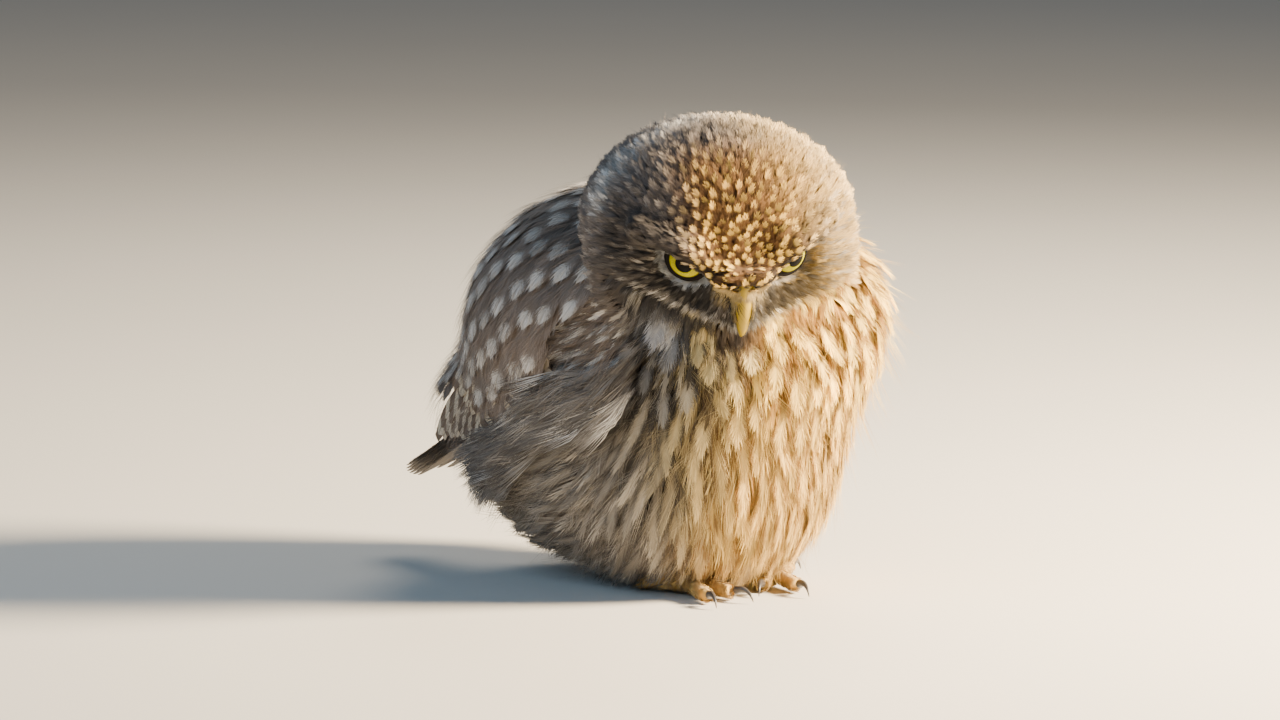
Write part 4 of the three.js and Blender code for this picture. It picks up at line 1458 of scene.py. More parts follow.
def shapes_for(rng):
    """The feather shapes of each tract, a few kinds of each."""
    return {
        "face_feathers": [hair_tuft(rng, 4.5, 0.9, 8, 0.085, 0.3) for _ in range(6)],
        "head_feathers": [soft_feather(rng, 7, 1.15, 4, 0.13, 0.2, vane=0.75, blade=BARB) for _ in range(6)],
        "breast_feathers": [soft_feather(rng, 18, 2.6, 7, 0.15, 0.7, vane=0.45) for _ in range(8)],
        "belly_feathers": [soft_feather(rng, 27, 3.2, 12, 0.13, 0.8, vane=0.35) for _ in range(8)],
        "mantle_feathers": [soft_feather(rng, 22, 3.0, 6, 0.18, 0.4, vane=0.7) for _ in range(4)],
        "foot_feathers": [hair_tuft(rng, 3.4, 1.0, 6, 0.11, 0.3) for _ in range(3)],
    }


def tract_of(p, rng):
    """Which tract each root belongs to, by name."""
    q = to_head(p)
    head = on_head(p)
    brow = q[..., 2] - brow_edge(np.abs(q[..., 0]))
    face = (brow < 0.3) & (q[..., 1] < -10) & (bill_distance(q) < 42)
    dither = rng.uniform(-5, 5, len(p))
    back = back_share(p) + dither * 0.05 > 0.5
    low = p[:, 2] + 0.12 * p[:, 1] + dither < 62
    names = np.where(low, "belly_feathers", "breast_feathers").astype("U20")
    names[back] = "mantle_feathers"
    names[head > 0.5] = "head_feathers"
    names[(head > 0.5) & face] = "face_feathers"
    names[on_foot(p) > 0.5] = "foot_feathers"
    return names


NO_SPOT = 0.01
MARKS = {
    "face_feathers": dict(streak_width=0.5, spot_width=NO_SPOT, dark_root=0.5, tone_contrast=1.5),
    "head_feathers": dict(
        spot_width=0.78, spot_length=0.42, spot_place=0.69, softness=0.4, dark_root=0.85, tone_contrast=1.2
    ),
    "breast_feathers": dict(
        streak_width=0.3, spot_width=NO_SPOT, dark_root=0.7, unevenness=0.15, tone_contrast=0.9
    ),
    "belly_feathers": dict(
        streak_width=0.42, spot_width=NO_SPOT, dark_root=0.85, unevenness=0.12, tone_contrast=1.0
    ),
    "mantle_feathers": dict(spot_width=0.9, spot_length=0.2, spot_place=0.74, softness=0.3, dark_root=0.4),
    "foot_feathers": dict(spot_width=NO_SPOT, dark_root=0.2, tone_contrast=0.6),
    "breast_lances": dict(
        spot_width=0.6, spot_length=0.4, spot_place=0.64, softness=0.45,
        ragged=0.9, dark_root=0.5, tone_contrast=0.8,
    ),
    "belly_lances": dict(
        spot_width=0.52, spot_length=0.55, spot_place=0.62, softness=0.5,
        ragged=0.9, dark_root=0.5, tone_contrast=0.9,
    ),
    "loose_hairs": dict(spot_width=NO_SPOT, dark_root=0.3, tone_contrast=1.4),
    "bristles": dict(spot_width=NO_SPOT, dark_root=0.25, tone_contrast=0.8),
    "flight": dict(
        spot_width=NO_SPOT, bars=7.2, bar_shift=1.0, unevenness=0.03,
        dark_root=0.3, tone_contrast=0.4, shaft=0.6,
    ),
    "coverts": dict(
        spot_width=0.52, spot_length=0.15, spot_place=0.77, softness=0.38, unevenness=0.08,
        dark_root=0.35, shaft=0.35, ragged=0.8, tone_contrast=0.7,
    ),
    "tail": dict(spot_width=NO_SPOT, bars=5, unevenness=0.03, dark_root=0.2, tone_contrast=0.4, shaft=0.6),
}

# How far apart the leaders of the tracts' locks stand, and how strongly they draw the others
CLUMPS = {
    "face_feathers": (1.9, 0.35),
    "head_feathers": (2.6, 0.35),
    "breast_feathers": (4.6, 0.4),
    "belly_feathers": (7.0, 0.8),
    "mantle_feathers": (7.0, 0.4),
    "foot_feathers": (2.0, 0.3),
}
COAT_LIMIT = 190000
SEEN = 4


def plumage_spacing(p):
    return 0.62 + 0.075 * feather_length(p)


def spots_of(tips, ways, q, rng):
    """Which feathers carry a spot on the head, and how near each lies to a pale patch of the body."""
    head_gap = mix(2.2, 4.2, smooth(12, 44, bill_distance(q)))
    spotted = np.zeros(len(tips), bool)
    spotted[apart(tips, head_gap * rng.uniform(0.85, 1.2, len(tips)))] = True
    low = smooth(84, 50, tips[:, 2])
    centres = tips[apart(tips, mix(9.2, 9.0, low) * rng.uniform(0.85, 1.25, len(tips)))]
    return spotted, nearness(tips, ways, centres, mix(3.5, 2.8, low), mix(4.4, 9.0, low))


def coats_of(name, kinds, roots, mids, normals, roll, half, tall, look):
    """The pieces of one tract: more than one where it would grow too heavy. `look` gives each feather's
    ground, mark, amount, tone and seed."""
    material = plumage_material(name.replace("_", " ").capitalize(), **MARKS[name])
    across, up = frames_of(mids, normals, roll)
    faces = max(len(shape[1]) for shape in kinds)
    parts = math.ceil(len(roots) * faces / COAT_LIMIT)
    unwrapped = unwrap(roots)
    made = []
    for part, own in enumerate(np.array_split(np.argsort(unwrapped[:, 0]), parts)):
        coat = Coat(name if parts == 1 else f"{name}_{part + 1}")
        shown = [values[own] for values in (*look, unwrapped)]
        coat.cover(kinds, mids[own], across[own], up[own], half[own], tall[own], shown)
        made.append(coat.piece(material))
    return made


def hanging(mids, long):
    """The body's feathers leave the surface a little past their middle, and hang freest low on the belly."""
    held = mids.shape[1] // 2
    way = unit(mids[:, held] - mids[:, held - 1])
    step = long / (mids.shape[1] - 1)
    free = mids.copy()
    for k in range(held + 1, mids.shape[1]):
        free[:, k] = mids[:, held] + way * (step * (k - held))[:, None]
    leaving = mids[:, held]
    share = mix(0.2, 0.6, smooth(42, 14, leaving[:, 2])) * (1 - on_head(leaving)) * (1 - on_foot(leaving))
    ways = mix(mids, free, share[:, None, None])
    ways[..., 2] = np.maximum(ways[..., 2], 0.8)
    return ways


LID_FORWARD = 4.8
LID_CLEAR = 7.4


def make_plumage(wanted):
    """The soft plumage of one or more tracts, on the skin."""
    rng = np.random.default_rng(SEED)
    roots = scattered(plumage_spacing, rng)
    q = to_head(roots)
    lids = []
    for side in SIDES.values():
        at, axes = eye_axes(side)
        lids.append(np.linalg.norm(q - at - axes[1] * LID_FORWARD, axis=1))
    clear = (np.min(lids, axis=0) > LID_CLEAR) | (brow_field(q) < 0.5)
    clear &= eye_distance(q)[0] > EYE_R + 0.3
    clear &= (bill_field(q) > 1.0) | (q[:, 2] > -7)
    clear &= (np.abs(on_head(roots) - 0.5) > 0.35) | (q[:, 1] > -20) | (np.abs(q[:, 0]) < 30)
    roots = roots[clear]
    q = q[clear]
    names = tract_of(roots, rng)
    shapes = shapes_for(rng)
    number = len(roots)
    long = feather_length(roots) * rng.uniform(0.85, 1.15, number)
    half = plumage_spacing(roots) * rng.uniform(0.9, 1.2, number)
    depth = coat_depth(roots)
    tone = rng.uniform(-1, 1, number)
    seed = rng.random(number)
    roll = rng.normal(0, 0.15, number)
    rise = rng.uniform(-0.12, 0.05, number)
    mids, normals = trace(outline, roots, long, -depth, rise * depth, 6, rng, 0.14)
    spotted, near = spots_of(mids[:, 5], unit(mids[:, 5] - mids[:, 4]), q, rng)
    crowned = spotted & (names == "head_feathers")
    mids[crowned] += normals[crowned] * 0.45
    half = np.where(crowned, half * mix(1.55, 1.1, smooth(18, 38, bill_distance(q))), half)
    half = np.where((names == "belly_feathers") | (names == "breast_feathers"), half * 1.2, half)
    ways = hanging(mids, long)
    for name, (gap, strength) in CLUMPS.items():
        chosen = np.flatnonzero(names == name)
        bunched = gathered(ways[chosen], normals[chosen], roots[chosen], gap, strength, rng)
        ways[chosen] = bunched[0]
        tone[chosen] = mix(tone[chosen], tone[chosen][bunched[1]], 0.6)
        if name == "belly_feathers":
            near[chosen] = bunched[2]
    ground, mark, amount = markings_and_painted_light(mids[:, SEEN], np.where(spotted, 0.0, 1.0), near)
    tall = np.clip(long / 12, 0.5, 1.6)
    made = []
    for name in wanted:
        own = np.flatnonzero(names == name)
        look = [values[own] for values in (ground, mark, amount, tone, seed)]
        laid = [values[own] for values in (roots, ways, normals, roll, half, tall)]
        made += coats_of(name, shapes[name], *laid, look)
    return made


def make_lances():
    """Broad feathers over the breast, belly and flanks, each with a pale middle and darker edges."""
    rng = np.random.default_rng(SEED + 4)
    roots = scattered(lambda p: mix(6.2, 4.9, smooth(84, 50, p[..., 2])), rng, 5)
    side = side_share(roots)
    bare = (on_head(roots) > 0.15) | (on_foot(roots) > 0.1) | (back_share(roots) > 0.4) | (roots[:, 2] < 14)
    bare |= rng.random(len(roots)) < 0.4 * side
    roots = roots[~bare]
    side = side[~bare]
    number = len(roots)
    low = smooth(84, 50, roots[:, 2])
    long = mix(15, 28, low) * rng.uniform(0.85, 1.1, number)
    half = mix(4.3, 3.5, low) * mix(1, 0.75, side) * rng.uniform(0.8, 1.1, number)
    end = rng.uniform(0.4, 2.0, number)
    mids, normals = trace(outline, roots, long, -0.5 * coat_depth(roots), end, 7, rng, mix(0.12, 0.2, side))
    ways = hanging(mids, long)
    ground, mark, _ = markings_and_painted_light(mids[:, 5], np.ones(number), np.zeros(number))
    # On the flanks, and where shade is painted into the neck, the lances carry less of their pale middles.
    amount = mix(0.95, 0.24, np.maximum(side, neck_shade_share(mids[:, 5]))) * rng.uniform(0.75, 1.0, number)
    values = [ground, mark, amount, rng.uniform(-1, 1, number), rng.random(number)]
    kinds = [soft_feather(rng, 22, 3.6, 24, 0.13, 1.1, vane=0.5, blade=BLADE) for _ in range(8)]
    roll = rng.normal(0, 0.15, number)
    breast = low + rng.uniform(-0.3, 0.3, number) < 0.5
    made = []
    for name, chosen in (("breast_lances", breast), ("belly_lances", ~breast)):
        own = np.flatnonzero(chosen)
        look = [value[own] for value in values]
        laid = [value[own] for value in (roots, ways, normals, roll, half, np.ones(number))]
        made += coats_of(name, kinds, *laid, look)
    return made


def make_loose_hairs():
    """Fine separate hairs that stand out from the coat and soften its outline."""
    rng = np.random.default_rng(SEED + 1)
    roots = scattered(lambda p: mix(1.95, 2.3, on_head(p)), rng, 4)
    q = to_head(roots)
    face = (q[:, 1] < -12) & (q[:, 2] < brow_edge(np.abs(q[:, 0])) + 4) & (on_head(roots) > 0.5)
    roots = roots[(on_foot(roots) < 0.2) & (roots[:, 2] > 8) & ~face]
    number = len(roots)
    shapes = [hair_tuft(rng, 14, 2.0, 3, 0.08, 0.8) for _ in range(8)]
    long = feather_length(roots) * rng.uniform(0.7, 1.1, number)
    # High on the bird's left, the side the light comes from, the hairs stand out further and are painted
    # paler.
    sunlit_edge = smooth(8, 34, roots[:, 0]) * smooth(56, 78, roots[:, 2])
    stand = mix(0.04, 0.3, rng.random(number) ** 3) * long * (1 + 2 * sunlit_edge) + 0.3
    mids, normals = trace(outline, roots, long, -coat_depth(roots) * 0.6, stand, 6, rng, 0.45, ease=1.2)
    ground, mark, _ = markings_and_painted_light(mids[:, SEEN], np.ones(number), rng.random(number))
    # Painted sunlight: the hairs on the sunlit edge are paler.
    pale = mix(ground, mark, (0.2 + 0.5 * sunlit_edge)[:, None])
    across, up = frames_of(mids, normals, rng.normal(0, 0.3, number))
    half = mix(0.5, 1.6, smooth(5, 25, long))
    tone = rng.uniform(-0.6, 1, number)
    coat = Coat("loose_hairs")
    none = np.zeros(number)
    look = (pale, mark, none, tone, none, unwrap(roots))
    coat.cover(shapes, mids, across, up, half, np.ones(number), look)
    return coat.piece(plumage_material("Loose hairs", bump=0, **MARKS["loose_hairs"]))


def cloaked(p):
    """The outline with the folded wings."""
    return soften(outline(p), wing_field(p) - 4.2, 2)


def flowing_back(p, normal):
    """Down and back along the flank, steeper towards the breast."""
    droop = np.radians(22 + 30 * smooth(40, 0, p[..., 1]))
    way = np.stack([np.zeros(len(p)), np.cos(droop), -np.sin(droop)], -1)
    return along_surface(way, normal)


def make_flank_fluff():
    """The long loose fluff of the flanks, which hides the wings' lower edges."""
    rng = np.random.default_rng(SEED + 3)
    number = 900
    side = np.where(np.arange(number) % 2, 1.0, -1.0)
    y = rng.uniform(2, 78, number)
    z = rng.uniform(-11, 7, number) + 68 - 0.34 * y + 11 * smooth(52, 34, y)
    start_at = np.stack([side * 58, y, z], -1)
    roots = settle(cloaked, start_at, 0, 6)
    long = rng.uniform(20, 34, number)
    lift = 4.5 * rng.random(number) ** 2
    mids, normals = trace(cloaked, roots, long, np.full(number, -3.0), lift, 7, rng, 0.26, flowing_back)
    mids, led, close = gathered(mids, normals, roots, 5.5, 0.65, rng)
    shapes = [hair_tuft(rng, 26, 2.4, 11, 0.1, 1.0) for _ in range(8)]
    across, up = frames_of(mids, normals, rng.normal(0, 0.25, number))
    # Each lock is lighter or darker at random, and darker towards its edges as painted shade in the grooves
    # between locks.
    light = rng.uniform(0.65, 1.25, number)[led, None] * (0.65 + 0.5 * close[:, None])
    pale = 0.5 * close * (rng.random(number) < 0.45)[led]
    ground = mix(np.tile(tint("flank"), (number, 1)), tint("nape_spot"), pale[:, None]) * light
    mark = np.tile(tint("face"), (number, 1))
    tone = rng.uniform(-1, 1, number)
    coat = Coat("flank_fluff")
    none = np.zeros(number)
    look = (ground, mark, none, tone, none, unwrap(roots))
    coat.cover(shapes, mids, across, up, np.full(number, 2.6), np.ones(number), look)
    return coat.piece(plumage_material("Flank fluff", bump=0, **MARKS["loose_hairs"]))


def face_with_bill(p):
    return soften(outline(p), bill_field(to_head(p)), 1.5)


def down_the_bill(p, normal):
    """From the brows down over the bill's root, spreading to its sides."""
    q = to_head(p)
    way = np.stack([q[:, 0] * 0.07, np.zeros(len(q)), -np.ones(len(q))], -1)
    return along_surface(way @ HEAD_AXES.T, normal)


BRISTLES_FROM = -4.4
BRISTLES_SLANT = 1.5


def make_bristles():
    """The bristles over the bill's root: short pale ones, and longer dark ones at its sides."""
    rng = np.random.default_rng(SEED + 2)
    coat = Coat("bristles")
    pale = [hair_tuft(rng, 6, 0.8, 6, 0.07, 0.4) for _ in range(6)]
    dark = [hair_tuft(rng, 10, 1.6, 2, 0.09, 0.8) for _ in range(4)]
    sets = [
        (900, 9.0, (-14, BRISTLES_FROM), 4.3, "lore", 0.6, 0.2, pale),
        (110, 7.5, (-15, -7), 8.0, "smudge", 2.2, 0.35, dark),
    ]
    for number, wide, heights, long, name, stand, yaw, shapes in sets:
        x = rng.uniform(-1, 1, number) * wide
        if name == "smudge":
            x = np.sign(x) * mix(3.8, 8.5, np.abs(x) / wide)
        lowest = np.maximum(BRISTLES_FROM - 0.3 - BRISTLES_SLANT * np.maximum(np.abs(x) - 1.6, 0), heights[0])
        z = mix(heights[1], lowest, rng.random(number))
        q = np.stack([x, np.full(number, -46.0), z], -1)
        roots = settle(face_with_bill, from_head(q), 0, 8)
        length_of = long * rng.uniform(0.8, 1.15, number)
        start = np.full(number, -0.7)
        end = stand * rng.uniform(0.3, 1.0, number)
        mids, normals = trace(face_with_bill, roots, length_of, start, end, 6, rng, yaw, down_the_bill)
        across, up = frames_of(mids, normals, rng.normal(0, 0.3, number))
        for k, shape in enumerate(shapes):
            mine = np.arange(number)[k :: len(shapes)]
            count = len(mine)
            spread = np.full(count, 0.8 if shapes is pale else 1.6)
            laid = lay(shape, mids[mine], across[mine], up[mine], spread, np.ones(count))
            ground = np.tile(tint(name), (count, 1)) * rng.uniform(0.8, 1.05, (count, 1))
            still = np.zeros(count)
            tone = rng.uniform(-1, 1, count)
            coat.add(shape, laid, ground, ground, still, tone, still, unwrap(roots[mine]))
    return coat.piece(plumage_material("Bristles", bump=0, **MARKS["bristles"]))


# Face


def make_eye(word, side):
    """The eyeball, its cornea bulging over the iris."""
    at, axes = eye_axes(side)
    bm = bmesh.new()
    bmesh.ops.create_uvsphere(bm, u_segments=64, v_segments=48, radius=EYE_R)
    ball = np.array([v.co for v in bm.verts])
    off = np.hypot(ball[:, 0], ball[:, 1])
    clear = millimetres("iris") + 0.3
    bulge = np.where(ball[:, 2] > 0, np.maximum(1 - (off / clear) ** 2, 0), 0) * millimetres("cornea")
    ball[:, 2] += bulge
    places = at + ball[:, 0:1] * axes[0] + ball[:, 2:3] * axes[1] + ball[:, 1:2] * axes[2]
    placed(bm.verts, from_head(places))
    obj = object_from(bm, f"eyeball_{word}")
    back = np.where(ball[:, 2] > 0, off, 2 * EYE_R)
    iris = ball * np.stack([back, back, back], -1) / np.maximum(off, 1e-6)[:, None]
    give(obj.data, "iris", iris)
    obj.data.materials.append(eye_material())
    return obj


def make_lids():
    """Both rims: rings that lie on the eyeballs with a thin inner lip, lower and further out above."""
    bm = bmesh.new()
    for side in SIDES.values():
        at, axes = eye_axes(side)
        ring = bmesh.new()
        bmesh.ops.create_circle(ring, segments=10, radius=LID_THICK)
        for v in ring.verts:
            lip = max(0.0, -v.co.x / LID_THICK)
            v.co = Vector((LID_R - 0.25 + v.co.x * 0.95, 0, v.co.y * (0.8 - 0.35 * lip) + 5.05 + 0.5 * lip))
        bmesh.ops.spin(
            ring,
            geom=ring.verts[:] + ring.edges[:],
            axis=(0, 0, 1),
            cent=(0, 0, 0),
            steps=72,
            angle=2 * math.pi,
            use_merge=True,
        )
        bmesh.ops.remove_doubles(ring, verts=ring.verts, dist=1e-4)
        for v in ring.verts:
            upper = max(0.0, v.co.y / LID_R)
            local = np.array([v.co.x, v.co.y * (1 - 0.14 * upper), v.co.z + 0.5 * upper])
            place = at + local[0] * axes[0] + local[2] * axes[1] + local[1] * axes[2]
            v.co = Vector(from_head(place))
        poured(ring, bm)
    obj = object_from(bm, "lids")
    obj.data.materials.append(skin_rim_material())
    return obj


def bill_form(bm, spots, radius):
    """A limb in the head's frame, with its share and its angle to the front kept for the horn's colours."""
    made, share, angle = limb(bm, spots, radius, np.array([0, -1, 0.0]), 28, 30)
    moved(made, from_head)
    return np.column_stack([np.sin(angle) * (share > 0), share, np.zeros(len(share))])


def make_bill():
    """The hooked upper bill with its ridge, cere and nostrils, and the lower bill behind it."""
    bm = bmesh.new()
    spots = [BILL_ROOT + [0, y, z * BILL_LENGTH] for y, z in BILL_ROUTE]

    def upper(share, angle):
        ridge = np.maximum(np.sin(angle), 0)
        wide = BILL_WIDTH / 2 * (1 - share) ** 0.85 * (1 - 0.06 * np.sin(math.pi * share))
        wide = wide * (1 - 0.22 * ridge**2)
        deep = BILL_DEPTH / 2 * (1 - share) ** 0.6 * (1 + 0.05 * ridge**4)
        cere = (1 + 0.07 * smooth(0.34, 0.26, share)) * mix(0.5, 1, smooth(0, 0.24, share))
        hole = np.exp(-(((share - 0.24) / 0.035) ** 2) - ((ridge - 0.35) / 0.22) ** 2)
        return (wide * cere - 0.9 * hole), deep * cere

    grown = bill_form(bm, spots, upper)
    beak = object_from(bm, "bill_upper")
    give(beak.data, "grown", grown)
    beak.data.materials.append(horn_material("Bill", "bill_side", "bill", "bill_side", 0.34, (0.1, 0.4)))
    bm = bmesh.new()
    start = BILL_ROOT + [0, 1, -8.5]
    low = [start, start + [0, -3.4, -4.0], start + [0, -5.0, -7.8]]

    def lower(share, angle):
        taper = np.sqrt(1 - share * 0.96)
        return 2.9 * taper, 1.9 * taper * (1 - 0.5 * np.maximum(np.sin(angle), 0))

    grown = bill_form(bm, low, lower)
    chin = object_from(bm, "bill_lower")
    give(chin.data, "grown", grown)
    horn = horn_material("Lower bill", "bill_side", "bill", "bill_side", 0.38, (0.2, 0.7))
    chin.data.materials.append(horn)
    return beak, chin


# Claws


def make_claw(word, side, name):
    """One curved claw, flattened a little from side to side, with a groove under it."""
    turn, long = TOES[name]
    out = toe_way(side, turn)
    start = FEET[side] + out * (TOE_OUT + long - 0.4) + [0, 0, 3.4]
    over = start + out * CLAW_LONG * 0.62 + [0, 0, 2.6]
    tip = start + out * CLAW_LONG * 0.86 + [0, 0, -2.9]
    share = np.linspace(0, 1, 6)[:, None]
    bow = start * (1 - share) ** 2 + over * 2 * share * (1 - share) + tip * share**2
    bm = bmesh.new()

    def round_(share, angle):
        taper = CLAW_R * (1 - 0.93 * share) * (1 + 0.12 * smooth(0.16, 0.0, share))
        groove = 1 - 0.18 * np.maximum(-np.sin(angle), 0) ** 6
        return taper * 0.88, taper * groove

    _, share, angle = limb(bm, bow, round_, np.array([0, 0, 1.0]), 14, 18)
    for v in bm.verts:
        v.co.z = max(v.co.z, 0.2)
    obj = object_from(bm, f"talon_{word}_{name}")
    give(obj.data, "grown", np.column_stack([np.abs(np.sin(angle)), share, np.zeros(len(share))]))
    horn = bpy.data.materials.get("Claws") or horn_material("Claws", "claw", "claw", "claw", 0.3)
    obj.data.materials.append(horn)
    return obj


# Wings and tail

SPINE_LENGTH = 134.0
BAR_STEP = 5.6
WING_STATIONS = 7
COVERT_ROW = 12.5
COVERT_STEP = 0.066
WING_HAIRS = 420


def spine(share):
    t = share[:, None]
    return WING_SPINE[0] * (1 - t) ** 2 + WING_SPINE[1] * 2 * t * (1 - t) + WING_SPINE[2] * t**2


def spine_way(share):
    t = share[:, None]
    return unit((WING_SPINE[1] - WING_SPINE[0]) * (1 - t) + (WING_SPINE[2] - WING_SPINE[1]) * t)


def wing_point(along, around, lift, side):
    """A place on the folded wing: `along` from shoulder to tip, `around` in degrees from the ridge of the
    back down the side, `lift` above the body. `side` is 1 on the bird's left."""
    share = np.clip(along, 0, 1)
    centre = spine(share)
    tangent = spine_way(share)
    ridge = unit(np.cross([1.0, 0, 0], tangent))
    turn = np.radians(around)[:, None]
    way = ridge * np.cos(turn) + np.array([side, 0, 0]) * np.sin(turn)
    near = np.zeros(len(share))
    far = np.full(len(share), 110.0)
    for _ in range(22):
        middle = (near + far) / 2
        outside = wing_field(centre + way * middle[:, None]) > lift
        far = np.where(outside, middle, far)
        near = np.where(outside, near, middle)
    return centre + way * near[:, None] + tangent * ((along - share) * SPINE_LENGTH)[:, None]


def wing_ways(ends, lift, side):
    """Stations of feathers whose ends are given as root along, root round, tip along, tip round."""
    mids = []
    for k in range(WING_STATIONS + 1):
        share = k / WING_STATIONS
        along = mix(ends[:, 0], ends[:, 2], share)
        around = mix(ends[:, 1], ends[:, 3], share)
        mids.append(wing_point(along, around, lift[0] + (lift[1] - lift[0]) * share**0.8, side))
    mids = np.stack(mids, 1)
    normals = np.stack([unit(slope(wing_field, mids[:, k])) for k in range(WING_STATIONS + 1)], 1)
    return mids, normals


def covert_ends(rng):
    """The coverts and scapulars in rows along the body, each feather pointing back and down the side. Plain
    rows, marked 0 in the last column, lie between the spotted ones."""
    rows = []
    for k, around in enumerate(np.arange(14, 114, COVERT_ROW / 2)):
        first = mix(0.1, 0.42, smooth(70, 104, around)) + (k % 4) * COVERT_STEP / 4
        last = mix(0.98, 0.76, smooth(50, 105, around))
        along = np.arange(first, last, COVERT_STEP)
        number = len(along)
        along = along + rng.normal(0, 0.008, number)
        round_tip = around + rng.normal(0, 1.6, number)
        long = rng.uniform(0.9, 1.1, number)
        back = mix(0.1, 0.12, smooth(60, 110, around))
        drop = mix(24, 15, smooth(60, 110, around))
        spotted = np.full(number, 1.0 - k % 2)
        rows.append(np.stack([along - back * long, round_tip - drop * long, along, round_tip, spotted], -1))
    return np.concatenate(rows)


def flight_ends(rng, count, first, last):
    share = np.linspace(0, 1, count)[:, None]
    ends = np.array(first) * (1 - share) + np.array(last) * share
    return ends + rng.normal(0, 1, ends.shape) * [0.004, 0.8, 0.006, 0.8]


def feather_sheet(coat, shapes, mids, normals, half, height, look, rng, roll=0.06, seeds=None):
    """Adds feathers to a coat, each with one of the shapes. `look` gives ground, mark and amount."""
    number = len(mids)
    across, up = frames_of(mids, normals, rng.normal(0, roll, number))
    tone = rng.uniform(-1, 1, number)
    seed = rng.random(number) if seeds is None else seeds
    coat.cover(shapes, mids, across, up, half, height, (*look(number), tone, seed, unwrap(mids[:, 0])))


def plain_look(ground, mark, amount, rng, share=1.0, spread=0.08):
    """The same two colours on every feather, a little lighter or darker from one to the next."""

    def look(number):
        light = 1 + rng.normal(0, spread, number)
        shown = np.where(rng.random(number) < share, amount, 0.0)
        return tint(ground) * light[:, None], np.tile(tint(mark), (number, 1)), shown

    return look


def spotted_and_plain(ends):
    """The coverts in two layers, each with its lift and how much spot it carries: plain ones below."""
    plain = ends[:, 4] == 0
    return [(ends[plain, :4], UNDER_LIFT, 0.0), (ends[~plain, :4], WING_LIFT, 0.85)]


def make_wing(word, side):
    """One folded wing: barred flight feathers, then rows of spotted coverts and scapulars over them, with
    loose hairs between."""
    rng = np.random.default_rng(SEED + 10 + side)
    flight = Coat(f"flight_{word}")
    vanes = [crisp_vane(12, 0.55, 0.5, rng, fringe=34, long=46, half=5.6) for _ in range(4)]
    rows = [
        (flight_ends(rng, 8, (0.5, 113, 0.82, 113), (0.52, 88, 1.02, 76)), 4.6, FLIGHT_LIFT),
        (flight_ends(rng, 10, (0.36, 111, 0.72, 113), (0.42, 34, 0.92, 42)), 5.4, (0.8, 3.4)),
    ]
    look = plain_look("flight", "flight_bar", 0.95, rng)
    for ends, half, lift in rows:
        mids, normals = wing_ways(ends, lift, side)
        number = len(ends)
        lined = ends[:, 0] * SPINE_LENGTH / BAR_STEP + 0.12 * (np.arange(number) % 2)
        full = np.ones(number)
        feather_sheet(flight, vanes, mids, normals, full * half, full * 0.9, look, rng, seeds=lined % 1)
    firm = plumage_material(f"Flight feathers {word}", bump=0.3, roughness=0.6, **MARKS["flight"])
    flown = flight.piece(firm, VANE_SHARP)
    covert = Coat(f"coverts_{word}")
    shapes = [soft_feather(rng, 24, 5.8, 34, 0.15, 0.8, vane=0.66, blunt=0.6, blade=BLADE) for _ in range(8)]
    for ends, lift, amount in spotted_and_plain(covert_ends(rng)):
        mids, normals = wing_ways(ends, lift, side)
        half = rng.uniform(5.2, 6.2, len(ends)) * mix(0.85, 1.0, smooth(0.1, 0.4, ends[:, 2]))
        look = plain_look("mantle", "mantle_spot", amount, rng, 0.9)
        feather_sheet(covert, shapes, mids, normals, half, np.full(len(ends), 1.1), look, rng)
    along = rng.uniform(0.08, 0.9, WING_HAIRS)
    around = rng.uniform(2, 104, WING_HAIRS)
    ends = np.stack([along, around, along + 0.12, around + rng.uniform(8, 20, WING_HAIRS)], -1)
    mids, normals = wing_ways(ends, (2.0, 6.6), side)
    hairs = [hair_tuft(rng, 20, 2.6, 5, 0.06, 1.6) for _ in range(6)]
    full = np.ones(WING_HAIRS)
    look = plain_look("mantle", "mantle_spot", 0, rng)
    feather_sheet(covert, hairs, mids, normals, full * 2.6, full, look, rng, 0.4)
    covered = covert.piece(plumage_material(f"Coverts {word}", **MARKS["coverts"]))
    return flown, covered


def make_tail():
    """Twelve tail feathers, the middle pair on top."""
    rng = np.random.default_rng(SEED + 5)
    along = TAIL_TIP - TAIL_ROOT
    up = unit(np.cross([1.0, 0, 0], along))
    coat = Coat("tail_feathers")
    shapes = [crisp_vane(14, 0.8, 0.4, rng, fringe=40, long=68, half=6.6) for _ in range(4)]
    mids = []
    for i in range(TAIL_FEATHERS):
        place = i - (TAIL_FEATHERS - 1) / 2
        rank = 2 * abs(place) - (place > 0)
        start = TAIL_ROOT + [place * 1.2, 0, 0] - up * rank * 0.6
        angle = math.radians(-0.2 * place)
        flat = unit(along)
        way = flat * math.cos(angle) + np.cross(up, flat) * math.sin(angle)
        share = np.linspace(0, 1, 9)[:, None]
        long = np.linalg.norm(along) - place * place * 0.3
        mids.append(start + way * long * share + up * 20 * share * (1 - share) ** 2)
    mids = np.stack(mids)
    normals = np.broadcast_to(up, mids.shape)
    number = len(mids)
    look = plain_look("tail", "tail_bar", 0.5, rng, spread=0.04)
    feather_sheet(coat, shapes, mids, normals, np.full(number, 6.4), np.full(number, 0.9), look, rng, 0.02)
    return coat.piece(plumage_material("Tail", bump=0.3, roughness=0.6, **MARKS["tail"]), VANE_SHARP)


# Operators


class OWL_OT_skin(bpy.types.Operator):
    """Build the one skin that carries the plumage"""

    bl_idname = "owl.skin"
    bl_label = "Skin"

    def execute(self, context):
        replaced = ["head", "neck", "torso", "leg_left", "leg_right", "foot_left", "foot_right"]
        finish_piece(make_skin(), replaced=replaced)
        return {"FINISHED"}


